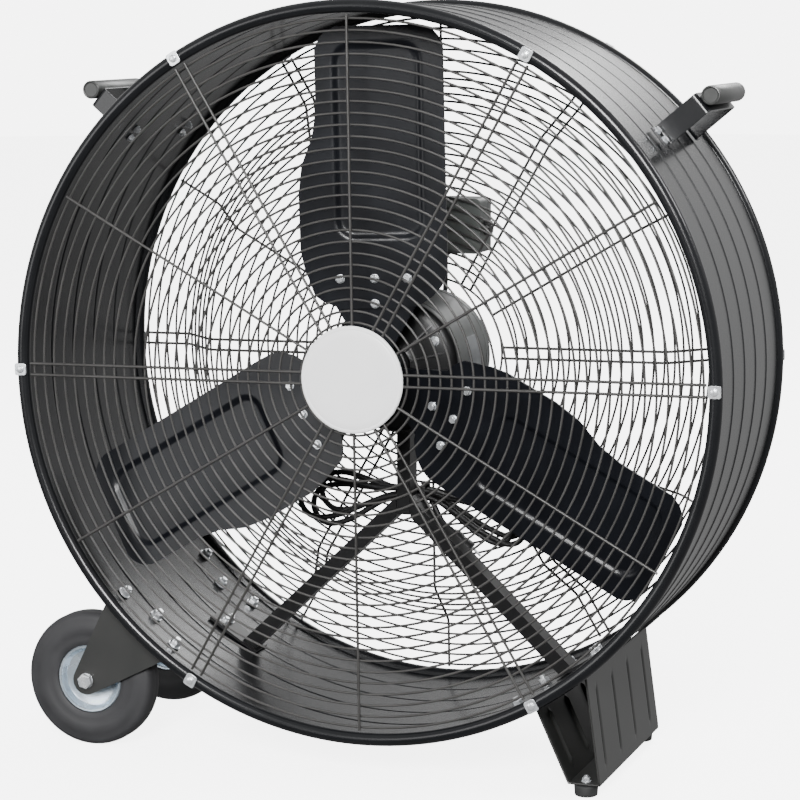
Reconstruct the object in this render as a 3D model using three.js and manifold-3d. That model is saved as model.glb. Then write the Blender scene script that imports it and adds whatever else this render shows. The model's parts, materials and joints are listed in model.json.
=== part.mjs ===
// Drum fan: a 36 inch class direct-drive fan in a rolled steel drum, with wire guards, two
// wheels, a folded stand and two carrying handles. Millimetres, +Z up, front (air outlet) at -Y.
// Most pieces are drawn in the fan frame: origin on the fan's axis at mid depth, axis along Y.
import * as THREE from 'three';
import { mergeVertices } from 'three/addons/utils/BufferGeometryUtils.js';
import Module from 'manifold-3d';

const wasm = await Module();
wasm.setup();

// ---- Driving dimensions -------------------------------------------------------------------
const gap = 0.3; // between pieces that touch
const seat = 0.8; // between a piece and the faceted drum that it sits on
const groundClearance = 48.5; // lowest point of the drum above the floor

const drumRadius = 476; // outside of the sheet wall
const drumWall = 1.6;
const drumBeadSpacing = 356; // between the two bead centres
const beadRadius = 9;
const beadInset = 2.5; // bead centre inside the drum's outer face
const ribHeight = 3;
const ribHalfWidth = 5;
const ribPitch = 64;
const ribCount = 4;
const drumFacets = 48;

const ringWire = 1.7; // radius of a guard ring's wire
const spokeWire = 1.9; // half thickness of a guard spoke
const ringPitch = 14.8;
const innerRingRadius = 43; // roughly where the rings end, under the badge
const plainRingStep = 14; // this plain model carries every fourteenth of them
const guardMargin = 4.8; // from the bead to the outer ring
const spokePairSpacing = 15;
const clipCount = 6;
const clipPhase = 0.8; // the whole guard's turn from level, in degrees
const recessOuterRadius = 394; // rear guard starts to dip
const recessInnerRadius = 335; // and reaches its recessed middle
const recessLap = 6; // flat foot of the slope, where the middle panel begins
const guardHoleMargin = 12; // rear guard's hole around the motor
const ringFacets = 28;

const badgeRadius = 70;
const badgeThickness = 4.7;
const clipWidth = 16;
const clipLength = 17;
const clipThickness = 2.5;
const clipScrewRadius = 4.5;
const clipScrewHeight = 2.5;

const handleAngle = 40; // above the horizontal, on both sides
const handleFrontY = -50;
const handleLength = 145;
const handleReach = 68; // from the drum to the top web
const handleStripWidth = 30;
const handleStripThickness = 3;
const handleFootLength = 20;
const gripRadius = 12.5;

const wheelRadius = 93;
const wheelWidth = 38;
const wheelPlaneY = 124; // wheel centre planes at plus and minus this
const wheelDrumClearance = 21; // tyre to the drum's bead
const rimRadius = 47;
const rimHubRadius = 16;
const axleRadius = 6;
const bushWall = 3.4;
const hubHalfLength = 20;
const axleHexRadius = 11;
const axleHexHeight = 8;
const forkHalfWidth = 25;
const forkPlate = 3;
const forkEndRadius = 20;
const forkAngles = [-139.5, -125]; // where the fork's saddle lies on the drum

const standHalfDepth = 150;
const standSheet = 2.5;
const standAngles = [-60.5, -51]; // where its two plates meet the drum
const standFootAngle = -55.75;
const standLean = 30; // the floor of the stand lies this far outboard
const standFloorWidth = 41;
const standFlangeAngles = [5, 3]; // how far its flanges run on round the drum
const footRadius = 15;
const footHeight = 15;
const footInset = 12; // foot centre from the stand's end

const motorRadius = 90;
const motorWall = 6;
const motorFacets = 28;
const motorLength = 162;
const motorSetback = 138; // motor's front face behind the front bead
const bellDepth = 18;
const noseRadius = 28;
const noseLength = 10;
const statorInnerRadius = 52;
const stackLength = 90;
const shaftRadius = 9.5;
const bearingRadius = 20;
const bearingWidth = 12;
const leadBossRadius = 8;
const leadBossLength = 11.7;
const leadBossPlace = [8, 62]; // x and z on the rear bell
const cradleThickness = 5;
const cradleAngle = 38; // each side of straight down
const mountCentreY = 22;
const cradleHalfLength = 30;
const columnHalfWidth = 9.5;
const columnDepth = 30;
const columnDrop = 120; // from the motor's underside to the column's end
const strutWidth = 20;
const strutFootAngle = 29.5; // each side of straight down
const strutTopDrop = 190; // strut centre line leaves the column this far under the axis
const strutFootArc = 8;
const strutFootThickness = 4;
const hookRadius = 5;
const hookReach = 38;

const bladePlane = -52.5; // blade root ahead of the motor's front face
const bladeTipClearance = 24.4;
const bladeSheet = 2.5;
const bladePitch = 10.8; // degrees
const bladeLead = 96.5; // straight leading edge, from the radial centre line
const bladeTrail = 72; // trailing edge near the tip
const bladeLobe = 98; // wide lobe of the trailing edge near the root
const bladeRoot = 82;
const bladeCount = 3;
const bladePhase = 91.3; // first blade's direction in degrees
const spiderSheet = 5;
const spiderReach = 134;
const spiderHalfWidth = 58;
const hubRadius = 32;
const hubHalfThickness = 18;

const boxWidth = 72;
const boxHeight = 76;
const boxDepth = 46;
const boxWall = 2.5;
const boxPlace = [34, 174]; // x and z of its centre above the motor
const coverThickness = 2.5;
const knobRadius = 11;
const knobHeight = 9;
const knobSpindle = 3;
const glandRadius = 10;
const glandLength = 12;
const reliefLength = 28;
const glandDrop = 5; // gland axis under the box's centre
const cordRadius = 4;
const leadRadius = 3.5;

const hankDepth = 22;
const hankBackset = 8; // hank behind the motor mount's column
const waistHalfHeight = 11;
const waistHalfLength = 32;
// Each lobe is an ellipse: its centre from the waist's middle, half sizes, and tilt in degrees.
const leftLobe = { x: -97, z: -19, halfLength: 77, halfHeight: 33, tilt: 7 };
const rightLobe = { x: 97, z: -28, halfLength: 74, halfHeight: 24, tilt: -22 };
const plugAngle = 44; // plug's axis below the horizontal
const plugRelief = 12;
const plugLength = 34;
const plugRadius = 13;
const plugTaper = 3;
const plugBladeLength = 17;
const plugBladeSpacing = 12.6;
const plugEarthLength = 19;
const plugEarthRadius = 2.4;

// ---- Derived places -----------------------------------------------------------------------
const deg = Math.PI / 180;
const beadCentreRadius = drumRadius - beadInset;
const fanRadius = beadCentreRadius + beadRadius; // outside of the beads
const beadY = drumBeadSpacing / 2;
const drumInside = (drumRadius - drumWall) * Math.cos(Math.PI / drumFacets) - gap;
const drumSeat = drumRadius + ribHeight + seat; // inner face of what sits on the drum
const axisHeight = fanRadius + groundClearance;
const wheelReach = fanRadius + wheelDrumClearance + wheelRadius;
const wheelX = -Math.sqrt(wheelReach ** 2 - (axisHeight - wheelRadius) ** 2);
const axisX = (wheelRadius - wheelX - fanRadius) / 2; // centres the whole fan on X = 0
const floor = -axisHeight;
const motorFront = -beadY + motorSetback;
const motorBack = motorFront + motorLength;
const bladeY = motorFront + bladePlane;
const bladeTip = drumInside - bladeTipClearance + gap;
const recessY = motorBack - 2;
const spokeY = beadY + ringWire + spokeWire - 0.6; // spokes lie on the rings and are welded to them
const spokeRecessY = recessY + spokeY - beadY;
const ringOuter = beadCentreRadius - beadRadius - guardMargin - ringWire;
const ringCount = Math.round((ringOuter - innerRingRadius) / ringPitch) + 1; // in the full guard
const boxFront = spokeRecessY + spokeWire + 1.4;
const boxBack = boxFront + boxDepth;
const glandY = boxFront + boxDepth / 2;
const hankFront = mountCentreY + columnDepth / 2 + hankBackset;
const hankMiddleY = hankFront + hankDepth / 2;
const hookZ = -motorRadius - columnDrop + hookRadius + 2;
const waistBottom = hookZ + hookRadius + gap;
const waistZ = waistBottom + waistHalfHeight;

// ---- Finishes -----------------------------------------------------------------------------
const blackPaint = { color: 0x1b1c1f, roughness: 0.38, metalness: 0.3 };
const greyPaint = { color: 0x55585a, roughness: 0.45, metalness: 0.2 };
const zinc = { color: 0xc9ccd0, roughness: 0.3, metalness: 1 };
const steel = { color: 0x9a9da1, roughness: 0.35, metalness: 1 };
const copperSteel = { color: 0x8a5a3a, roughness: 0.5, metalness: 0.8 };
const rubber = { color: 0x26272a, roughness: 0.8, metalness: 0 };
const whitePlastic = { color: 0xe9e9ea, roughness: 0.4, metalness: 0 };
const greyPlastic = { color: 0x6a6d70, roughness: 0.5, metalness: 0 };
const blackPlastic = { color: 0x18191b, roughness: 0.5, metalness: 0 };
const cordJacket = { color: 0x141416, roughness: 0.6, metalness: 0 };

// ---- Shape helpers ------------------------------------------------------------------------
const fan = new THREE.Group();
fan.position.set(axisX, 0, axisHeight);

/** A manifold solid from any closed three.js geometry, with its faces pointing out. */
function solid(geometry) {
  const bare = geometry.clone();
  bare.deleteAttribute('normal');
  bare.deleteAttribute('uv');
  const merged = mergeVertices(bare, 1e-3);
  const points = merged.attributes.position.array;
  const corners = merged.index.array;
  const kept = [];
  let volume = 0;
  for (let i = 0; i < corners.length; i += 3) {
    const [a, b, c] = [corners[i], corners[i + 1], corners[i + 2]];
    if (a === b || b === c || c === a) continue;
    kept.push(a, b, c);
    const [p, q, r] = [a, b, c].map((k) => new THREE.Vector3().fromArray(points, 3 * k));
    volume += p.dot(q.cross(r));
  }
  if (volume < 0) kept.reverse();
  return new wasm.Manifold(
    new wasm.Mesh({
      numProp: 3,
      vertProperties: Float32Array.from(points),
      triVerts: Uint32Array.from(kept),
    }),
  );
}

/** Joins several solids into one. */
function join(...solids) {
  return solids.reduce((whole, piece) => whole.add(piece));
}

/** Adds one named mesh to the fan; place holds position and the turn about the fan's axis. */
function add(name, body, finish, place = {}) {
  const made = body.getMesh();
  const geometry = new THREE.BufferGeometry();
  geometry.setAttribute('position', new THREE.BufferAttribute(new Float32Array(made.vertProperties), 3));
  geometry.setIndex(new THREE.BufferAttribute(new Uint32Array(made.triVerts), 1));
  geometry.computeVertexNormals();
  const mesh = new THREE.Mesh(geometry, new THREE.MeshStandardMaterial(finish));
  mesh.name = name;
  mesh.position.set(...(place.at ?? [0, 0, 0]));
  mesh.rotation.y = -(place.turn ?? 0) * deg;
  fan.add(mesh);
}

/** A solid of revolution about Y from a closed profile of [radius, y] points. */
function turned(profile, facets = 32) {
  const loop = [...profile, profile[0]].map(([r, y]) => new THREE.Vector2(r, y));
  return solid(new THREE.LatheGeometry(loop, facets));
}

/** A plain ring about Y between two radii. */
function tubeY(inner, outer, y0, y1, facets = 32) {
  return turned([[inner, y0], [outer, y0], [outer, y1], [inner, y1]], facets);
}

/** A cylinder along Y. */
function rodY(radius, y0, y1, facets = 20, x = 0, z = 0) {
  const rod = new THREE.CylinderGeometry(radius, radius, y1 - y0, facets);
  return solid(rod.translate(x, (y0 + y1) / 2, z));
}

/** A box between two corners. */
function block([x0, y0, z0], [x1, y1, z1]) {
  const box = new THREE.BoxGeometry(x1 - x0, y1 - y0, z1 - z0);
  return solid(box.translate((x0 + x1) / 2, (y0 + y1) / 2, (z0 + z1) / 2));
}

/** An outline of [x, z] points drawn out along Y. */
function plateXZ(outline, y0, y1) {
  const shape = new THREE.Shape(outline.map(([x, z]) => new THREE.Vector2(x, z)));
  const plate = new THREE.ExtrudeGeometry(shape, { depth: y1 - y0, bevelEnabled: false });
  return solid(plate.rotateX(Math.PI / 2).translate(0, y1, 0));
}

/** A point at a radius and an angle in degrees about the fan's axis. */
function polar(radius, angle) {
  return [radius * Math.cos(angle * deg), radius * Math.sin(angle * deg)];
}

/** Points of an arc, from one angle to another, ends included. */
function arc(cx, cz, radius, from, to, steps) {
  return Array.from({ length: steps + 1 }, (_, k) => {
    const [x, z] = polar(radius, from + ((to - from) * k) / steps);
    return [cx + x, cz + z];
  });
}

/** A curved plate concentric with the drum. */
function curvedPlate(inner, outer, from, to, y0, y1, steps = 6) {
  const outline = [...arc(0, 0, outer, from, to, steps), ...arc(0, 0, inner, to, from, steps)];
  return plateXZ(outline, y0, y1);
}

/** A rounded polygon: corners are [x, z, radius], each rounded by an arc of a few steps. */
function roundedOutline(corners, steps = 4) {
  const outline = [];
  corners.forEach(([x, z, radius], k) => {
    const before = corners[(k + corners.length - 1) % corners.length];
    const after = corners[(k + 1) % corners.length];
    const corner = new THREE.Vector2(x, z);
    const toBefore = new THREE.Vector2(before[0] - x, before[1] - z).normalize();
    const toAfter = new THREE.Vector2(after[0] - x, after[1] - z).normalize();
    const half = Math.acos(toBefore.dot(toAfter)) / 2;
    if (!radius || half > 1.55) {
      outline.push([x, z]);
      return;
    }
    const centre = corner.clone().add(toBefore.clone().add(toAfter).setLength(radius / Math.sin(half)));
    const start = corner.clone().addScaledVector(toBefore, radius / Math.tan(half)).sub(centre);
    const end = corner.clone().addScaledVector(toAfter, radius / Math.tan(half)).sub(centre);
    let sweep = end.angle() - start.angle();
    if (sweep > Math.PI) sweep -= 2 * Math.PI;
    if (sweep < -Math.PI) sweep += 2 * Math.PI;
    for (let s = 0; s <= steps; s += 1) {
      const spot = start.clone().rotateAround(new THREE.Vector2(), (sweep * s) / steps).add(centre);
      outline.push([spot.x, spot.y]);
    }
  });
  return outline;
}

/** The smallest convex outline round a set of [x, z] points. */
function hull(points) {
  const sorted = [...points].sort((a, b) => a[0] - b[0] || a[1] - b[1]);
  const turn = (o, a, b) => (a[0] - o[0]) * (b[1] - o[1]) - (a[1] - o[1]) * (b[0] - o[0]);
  const chain = (list) => {
    const kept = [];
    for (const p of list) {
      while (kept.length > 1 && turn(kept.at(-2), kept.at(-1), p) <= 0) kept.pop();
      kept.push(p);
    }
    return kept.slice(0, -1);
  };
  return [...chain(sorted), ...chain(sorted.reverse())];
}

/** A sheet strip of even thickness bent along [x, z] points. */
function bentStrip(points, thickness) {
  const normals = points.slice(1).map(([x, z], k) => {
    const along = new THREE.Vector2(x - points[k][0], z - points[k][1]).normalize();
    return new THREE.Vector2(-along.y, along.x);
  });
  const side = (sign) =>
    points.map(([x, z], k) => {
      const a = normals[Math.max(k - 1, 0)];
      const b = normals[Math.min(k, normals.length - 1)];
      const mitre = a.clone().add(b).normalize();
      const reach = (sign * thickness) / 2 / mitre.dot(a);
      return [x + mitre.x * reach, z + mitre.y * reach];
    });
  return [...side(1), ...side(-1).reverse()];
}

/** A round cord along hand-chosen points, with flat ends. */
function cord(points, radius, steps) {
  const path = new THREE.CatmullRomCurve3(points.map((p) => new THREE.Vector3(...p)), false, 'centripetal');
  const section = new THREE.Shape(arc(0, 0, radius, 0, 315, 7).map((p) => new THREE.Vector2(...p)));
  return solid(new THREE.ExtrudeGeometry(section, { steps, extrudePath: path }));
}

// ---- Drum ---------------------------------------------------------------------------------

/** The rolled drum: a sheet wall with pressed ribs and a round bead at each end. */
function drumShell() {
  const first = 25; // the wall leaves the bead this many degrees off the drum's direction
  const beadPoints = 5;
  const around = (side, from, to) =>
    Array.from({ length: beadPoints }, (_, k) => {
      const a = (from + ((to - from) * k) / (beadPoints - 1)) * deg;
      return [beadCentreRadius + beadRadius * Math.sin(a), side * (beadY - beadRadius * Math.cos(a))];
    });
  const outside = [];
  for (let k = 0; k < ribCount; k += 1) {
    const y = (k - (ribCount - 1) / 2) * ribPitch;
    outside.push(
      [drumRadius, y - ribHalfWidth],
      [drumRadius + ribHeight, y],
      [drumRadius, y + ribHalfWidth],
    );
  }
  const inner = drumRadius - drumWall;
  const innerEnd = beadY - beadRadius - 4;
  const profile = [
    ...around(-1, 360 - first, first),
    ...outside,
    ...around(1, first, 360 - first),
    [inner, innerEnd],
    [inner, -innerEnd],
  ];
  return turned(profile, drumFacets);
}

// ---- Guards -------------------------------------------------------------------------------

/** One guard ring of round wire. */
function guardRing(radius, y) {
  const ring = new THREE.TorusGeometry(radius, ringWire, 4, ringFacets);
  return solid(ring.rotateX(Math.PI / 2).translate(0, y, 0));
}

/** Every spoke of a guard: a pair of wires towards each clip and a single one midway. */
function guardSpokes(path, pairOffset) {
  const wires = [];
  for (let k = 0; k < 2 * clipCount; k += 1) {
    const offsets = k % 2 ? [0] : [-pairOffset, pairOffset];
    for (const offset of offsets) {
      const outline = bentStrip(path, 2 * spokeWire);
      const wire = new THREE.ExtrudeGeometry(new THREE.Shape(outline.map((p) => new THREE.Vector2(...p))), {
        depth: 2 * spokeWire,
        bevelEnabled: false,
      });
      wire.translate(0, 0, offset - spokeWire).rotateY(-(clipPhase + (180 * k) / clipCount) * deg);
      wires.push(solid(wire));
    }
  }
  return wires;
}

/** The flat front guard. */
function frontGuard() {
  const rings = [];
  for (let k = 0; k < ringCount; k += plainRingStep) {
    rings.push(guardRing(ringOuter - k * ringPitch, -beadY));
  }
  const innerRing = ringOuter - (ringCount - 1) * ringPitch;
  rings.push(guardRing(innerRing, -beadY));
  const path = [[innerRing - 2, -spokeY], [ringOuter + 3, -spokeY]];
  return join(...rings, ...guardSpokes(path, spokePairSpacing / 2));
}

/** The rear guard's rim: its flat outer band and the slope down to its recessed middle. */
function rearGuard() {
  const rings = [guardRing(ringOuter, beadY), guardRing(recessOuterRadius + 5, beadY)];
  const path = [
    [recessInnerRadius - recessLap, spokeRecessY],
    [recessInnerRadius, spokeRecessY],
    [recessOuterRadius, spokeY],
    [ringOuter + 3, spokeY],
  ];
  return join(...rings, ...guardSpokes(path, spokePairSpacing / 2));
}

/** The rear guard's recessed middle, with its hole around the motor. */
function rearGuardMiddle() {
  const hole = motorRadius + guardHoleMargin;
  const end = recessInnerRadius - recessLap - gap;
  const rings = [guardRing(hole + ringWire, recessY), guardRing(end - 2 * ringWire, recessY)];
  const path = [[hole, spokeRecessY], [end, spokeRecessY]];
  return join(...rings, ...guardSpokes(path, spokePairSpacing / 2));
}

/** A guard clip with its screw, drawn at angle 0; side is -1 at the front and 1 at the rear. */
function guardClip(side) {
  const under = beadY + beadRadius + gap;
  const top = under + clipThickness;
  const outline = roundedOutline(
    [
      [beadCentreRadius + clipLength / 2, clipWidth / 2, 3],
      [beadCentreRadius - clipLength / 2, clipWidth / 2, 3],
      [beadCentreRadius - clipLength / 2, -clipWidth / 2, 3],
      [beadCentreRadius + clipLength / 2, -clipWidth / 2, 3],
    ],
    1,
  );
  const ends = (a, b) => [Math.min(side * a, side * b), Math.max(side * a, side * b)];
  const plate = plateXZ(outline, ...ends(under, top));
  const screw = rodY(clipScrewRadius, ...ends(top - 1, top + clipScrewHeight), 8, beadCentreRadius);
  return join(plate, screw);
}

// ---- Handles ------------------------------------------------------------------------------

/** A hat-shaped strip that carries the grip, drawn at angle 0. */
function handleBracket() {
  const foot = drumSeat + handleStripThickness / 2;
  const web = drumSeat + handleReach;
  const front = handleFrontY + handleStripThickness / 2;
  const back = handleFrontY + handleLength - handleStripThickness / 2;
  const path = [
    [foot, front - handleFootLength],
    [foot, front],
    [web, front],
    [web, back],
    [foot, back],
    [foot, back + handleFootLength],
  ];
  const outline = bentStrip(path, handleStripThickness).map((p) => new THREE.Vector2(...p));
  const strip = new THREE.ExtrudeGeometry(new THREE.Shape(outline), {
    depth: handleStripWidth,
    bevelEnabled: false,
  });
  return solid(strip.translate(0, 0, -handleStripWidth / 2));
}

/** The round grip that lies on the bracket's web, drawn at angle 0. */
function handleGrip() {
  const centre = drumSeat + handleReach + handleStripThickness / 2 + gap + gripRadius;
  return rodY(gripRadius, handleFrontY, handleFrontY + handleLength, 20, centre);
}

// ---- Wheels -------------------------------------------------------------------------------

/** The fork: two plates on a saddle that follows the drum, in the fan frame. */
function wheelFork(planeY) {
  const axle = [wheelX, floor + wheelRadius];
  const outline = hull([
    ...arc(0, 0, drumSeat + forkPlate / 2, ...forkAngles, 6),
    ...arc(...axle, forkEndRadius, 0, 345, 23),
  ]);
  const drumSpace = rodY(drumSeat, planeY - forkHalfWidth - 1, planeY + forkHalfWidth + 1, 96);
  const bore = rodY(axleRadius + gap, planeY - forkHalfWidth - 1, planeY + forkHalfWidth + 1, 16, ...axle);
  const plates = [-1, 1].map((side) => {
    const outer = planeY + side * forkHalfWidth;
    const inner = outer - side * forkPlate;
    return plateXZ(outline, Math.min(outer, inner), Math.max(outer, inner));
  });
  const saddle = curvedPlate(
    drumSeat,
    drumSeat + forkPlate,
    ...forkAngles,
    planeY - forkHalfWidth,
    planeY + forkHalfWidth,
  );
  return join(...plates, saddle).subtract(drumSpace).subtract(bore);
}

/** Mirrors y values of a profile when the wheel is the rear one. */
function facing(side, profile) {
  return profile.map(([r, y]) => [r, side * y]);
}

/** The dished steel rim with its hub tube; side is -1 when its open face looks to the front. */
function wheelRim(side) {
  const bore = axleRadius + gap + bushWall + gap;
  const [lip, well, web] = [15, rimRadius - 5, 5];
  return turned(
    facing(-side, [
      [bore, -hubHalfLength],
      [rimHubRadius, -hubHalfLength],
      [rimHubRadius, -web],
      [well, -web],
      [well, -lip],
      [rimRadius, -lip],
      [rimRadius, lip],
      [well, lip],
      [well, 1 - web + 3],
      [rimHubRadius, 1 - web + 3],
      [rimHubRadius, hubHalfLength],
      [bore, hubHalfLength],
    ]),
    24,
  );
}

/** The solid rubber tyre with rounded shoulders. */
function tyre() {
  const half = wheelWidth / 2;
  const outline = [
    [rimRadius + gap, half - 3],
    [wheelRadius - 13, half],
    [wheelRadius - 5, half - 2],
    [wheelRadius - 1, half - 8],
    [wheelRadius, half - 14],
  ];
  const mirrored = outline.map(([r, y]) => [r, -y]).reverse();
  return turned([...outline, ...mirrored], 28);
}

/** Hex-headed axle bolt; side is the side of its head. */
function axleBolt(side) {
  const under = forkHalfWidth + gap;
  const end = forkHalfWidth + gap + axleHexHeight + 2;
  const head = rodY(axleHexRadius, under, under + axleHexHeight, 6);
  const shank = rodY(axleRadius, -end, under + 1, 16);
  const bolt = join(head, shank);
  return side > 0 ? bolt : bolt.rotate([0, 0, 180]);
}

/** Hex nut on the other end of the axle bolt. */
function axleNut(side) {
  const [near, far] = [forkHalfWidth + gap, forkHalfWidth + gap + axleHexHeight];
  const hex = rodY(axleHexRadius, side > 0 ? -far : near, side > 0 ? -near : far, 6);
  return hex.subtract(rodY(axleRadius + gap, -far - 1, far + 1, 16));
}

// ---- Stand --------------------------------------------------------------------------------
const standFootX = fanRadius * Math.cos(standFootAngle * deg) + standLean;

/** The folded stand: two inclined plates, a narrow floor and a flange at each top edge. */
function stand() {
  const z = floor + footHeight + gap + standSheet / 2;
  const flange = (from, to) => arc(0, 0, drumSeat + standSheet / 2, from, to, 2);
  const path = [
    ...flange(standAngles[0] - standFlangeAngles[0], standAngles[0]),
    [standFootX - standFloorWidth / 2, z],
    [standFootX + standFloorWidth / 2, z],
    ...flange(standAngles[1], standAngles[1] + standFlangeAngles[1]),
  ];
  return plateXZ(bentStrip(path, standSheet), -standHalfDepth, standHalfDepth);
}

/** A rubber foot, standing on the floor. */
function rubberFoot() {
  const foot = new THREE.CylinderGeometry(footRadius + 1, footRadius, footHeight, 24);
  return solid(foot.rotateX(Math.PI / 2).translate(0, 0, footHeight / 2));
}

// ---- Motor --------------------------------------------------------------------------------

/** An end bell; side is -1 at the front. It is a dished disc with a bearing pocket. */
function motorBell(side) {
  const face = side < 0 ? -motorFront : motorBack;
  const pocket = bearingRadius + gap;
  const profile = [
    [pocket, face + noseLength],
    [noseRadius, face + noseLength],
    [noseRadius + 4, face],
    [motorRadius - 5, face],
    [motorRadius, face - 5],
    [motorRadius, face - bellDepth],
    [motorRadius - motorWall, face - bellDepth],
    [motorRadius - motorWall, face - 7],
    [noseRadius, face - 6],
    [noseRadius, face - 9],
    [pocket, face - 9],
  ];
  return turned(facing(side, profile), motorFacets);
}

/** The rear bell with the boss where the lead from the switch enters. */
function rearBell() {
  const [x, z] = leadBossPlace;
  return join(motorBell(1), rodY(leadBossRadius, motorBack - 2, motorBack + leadBossLength, 16, x, z));
}

/** The motor mount: a cradle under the motor, its column and the hook for the cord. */
function motorMount() {
  const half = columnDepth / 2;
  const cradle = curvedPlate(
    motorRadius + gap,
    motorRadius + gap + cradleThickness,
    -90 - cradleAngle,
    -90 + cradleAngle,
    mountCentreY - cradleHalfLength,
    mountCentreY + cradleHalfLength,
    10,
  );
  const column = block(
    [-columnHalfWidth, mountCentreY - half, -motorRadius - columnDrop],
    [columnHalfWidth, mountCentreY + half, -motorRadius - 3],
  );
  const hook = rodY(hookRadius, mountCentreY, mountCentreY + half + hookReach, 12, 0, hookZ);
  return join(cradle, column, hook);
}

/** A strut from the column to the drum; side is -1 at the left. */
function strut(side) {
  const half = columnDepth / 2;
  const [y0, y1] = [mountCentreY - half, mountCentreY + half];
  const [footX, footZ] = polar(drumInside, -90 + side * strutFootAngle);
  const length = Math.hypot(footX, footZ + strutTopDrop) + 2 * strutWidth; // cut off at the drum
  const bar = new THREE.BoxGeometry(length, columnDepth, strutWidth).translate(length / 2, 0, 0);
  bar.rotateY(-Math.atan2(footZ + strutTopDrop, footX)).translate(0, mountCentreY, -strutTopDrop);
  const face = columnHalfWidth + gap;
  const columnSpace = block(
    [side < 0 ? -face : -drumRadius, y0 - 1, -2 * drumRadius],
    [side < 0 ? drumRadius : face, y1 + 1, 0],
  );
  const inside = rodY(drumInside, y0 - 1, y1 + 1, 128);
  const from = -90 + side * (strutFootAngle - 2);
  const to = -90 + side * (strutFootAngle + strutFootArc);
  const foot = curvedPlate(
    drumInside - strutFootThickness,
    drumInside - gap,
    Math.min(from, to),
    Math.max(from, to),
    y0 - 5,
    y1 + 5,
  );
  return join(solid(bar).intersect(inside).subtract(columnSpace), foot);
}

// ---- Rotor --------------------------------------------------------------------------------

/** Turns a plate drawn straight up into the blade's place: pitched and moved to its plane. */
function pitched(outline, thickness, offset) {
  const plate = plateXZ(outline, offset - thickness / 2, offset + thickness / 2);
  return plate.rotate([0, 0, bladePitch]).translate([0, bladeY, 0]);
}

/** One paddle blade, drawn straight up: straight leading edge, lobed trailing edge. */
function blade() {
  const tipAt = (u) => Math.sqrt(bladeTip ** 2 - u ** 2);
  const corners = [
    [57, bladeRoot + 3, 8],
    [bladeLead - 4, bladeRoot + 28, 10],
    [bladeLead, bladeRoot + 68, 0],
    [bladeLead, tipAt(bladeLead), 26],
    [bladeLead * 0.4, tipAt(bladeLead * 0.4), 0],
    [-bladeTrail * 0.3, tipAt(bladeTrail * 0.3), 0],
    [-bladeTrail, tipAt(bladeTrail), 28],
    [-bladeTrail, bladeRoot + 225, 60],
    [-bladeLobe, bladeRoot + 150, 60],
    [-bladeLobe, bladeRoot + 55, 30],
    [-bladeLobe + 20, bladeRoot + 10, 14],
    [-45, bladeRoot, 8],
  ];
  return pitched(roundedOutline(corners), bladeSheet, 0);
}

/** The hub with its three-armed spider, which lies behind the blades. */
function fanHub() {
  const arm = roundedOutline([
    [-24, 10, 0],
    [24, 10, 0],
    [32, bladeRoot, 20],
    [spiderHalfWidth, spiderReach - 28, 10],
    [spiderHalfWidth, spiderReach, 8],
    [-spiderHalfWidth, spiderReach, 8],
    [-spiderHalfWidth, spiderReach - 28, 10],
    [-32, bladeRoot, 20],
  ], 2);
  const offset = bladeSheet / 2 + gap + spiderSheet / 2;
  const arms = Array.from({ length: bladeCount }, (_, k) =>
    pitched(arm, spiderSheet, offset).rotate([0, -(bladePhase - 90 + (360 * k) / bladeCount), 0]),
  );
  const boss = rodY(hubRadius, bladeY - hubHalfThickness + 8, bladeY + hubHalfThickness, 24);
  const bore = rodY(shaftRadius + gap, bladeY - 2 * hubHalfThickness, bladeY + 2 * hubHalfThickness, 20);
  return join(boss, ...arms).subtract(bore);
}

// ---- Switch, cord and plug ----------------------------------------------------------------

/** The switch box, open at the back, with holes for the knob's spindle, the gland and the lead. */
function switchBox() {
  const [cx, cz] = boxPlace;
  const [x0, x1] = [cx - boxWidth / 2, cx + boxWidth / 2];
  const [z0, z1] = [cz - boxHeight / 2, cz + boxHeight / 2];
  const corners = [[x1, z1, 8], [x0, z1, 8], [x0, z0, 8], [x1, z0, 8]];
  const outer = plateXZ(roundedOutline(corners, 3), boxFront, boxBack);
  const cavity = block(
    [x0 + boxWall, boxFront + boxWall, z0 + boxWall],
    [x1 - boxWall, boxBack + 1, z1 - boxWall],
  );
  const spindle = rodX(knobSpindle + gap, x1 - boxWall - 1, x1 + 1, glandY, cz - 3, 12);
  return outer.subtract(cavity).subtract(spindle);
}

/** A cylinder along X. */
function rodX(radius, x0, x1, y, z, facets = 16) {
  const rod = new THREE.CylinderGeometry(radius, radius, x1 - x0, facets);
  return solid(rod.rotateZ(Math.PI / 2).translate((x0 + x1) / 2, y, z));
}

/** The gland nut with its tapered strain relief, pointing to -X from the box's side. */
function cordGland() {
  const x = boxPlace[0] - boxWidth / 2 - gap;
  const z = boxPlace[1] - glandDrop;
  const nut = rodX(glandRadius, x - glandLength, x, glandY, z, 12);
  const taper = new THREE.CylinderGeometry(glandRadius - 2, cordRadius + 1.2, reliefLength + 1, 12);
  taper.rotateZ(-Math.PI / 2).translate(x - glandLength - (reliefLength - 1) / 2, glandY, z);
  return join(nut, solid(taper));
}

/** The hank: two drooping lobes of folded cord either side of a tied waist. */
function cordHank() {
  const outline = (lobe) => {
    const [cos, sin] = [Math.cos(lobe.tilt * deg), Math.sin(lobe.tilt * deg)];
    return arc(0, 0, 1, 0, 345, 23).map(([x, z]) => [
      lobe.x + lobe.halfLength * x * cos - lobe.halfHeight * z * sin,
      waistZ + lobe.z + lobe.halfLength * x * sin + lobe.halfHeight * z * cos,
    ]);
  };
  const [y0, y1] = [hankFront, hankFront + hankDepth];
  const waist = block([-waistHalfLength, y0, waistBottom], [waistHalfLength, y1, waistZ + waistHalfHeight]);
  return join(
    waist,
    plateXZ(outline(leftLobe), y0, y1),
    plateXZ(outline(rightLobe), y0, y1),
  );
}

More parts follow.
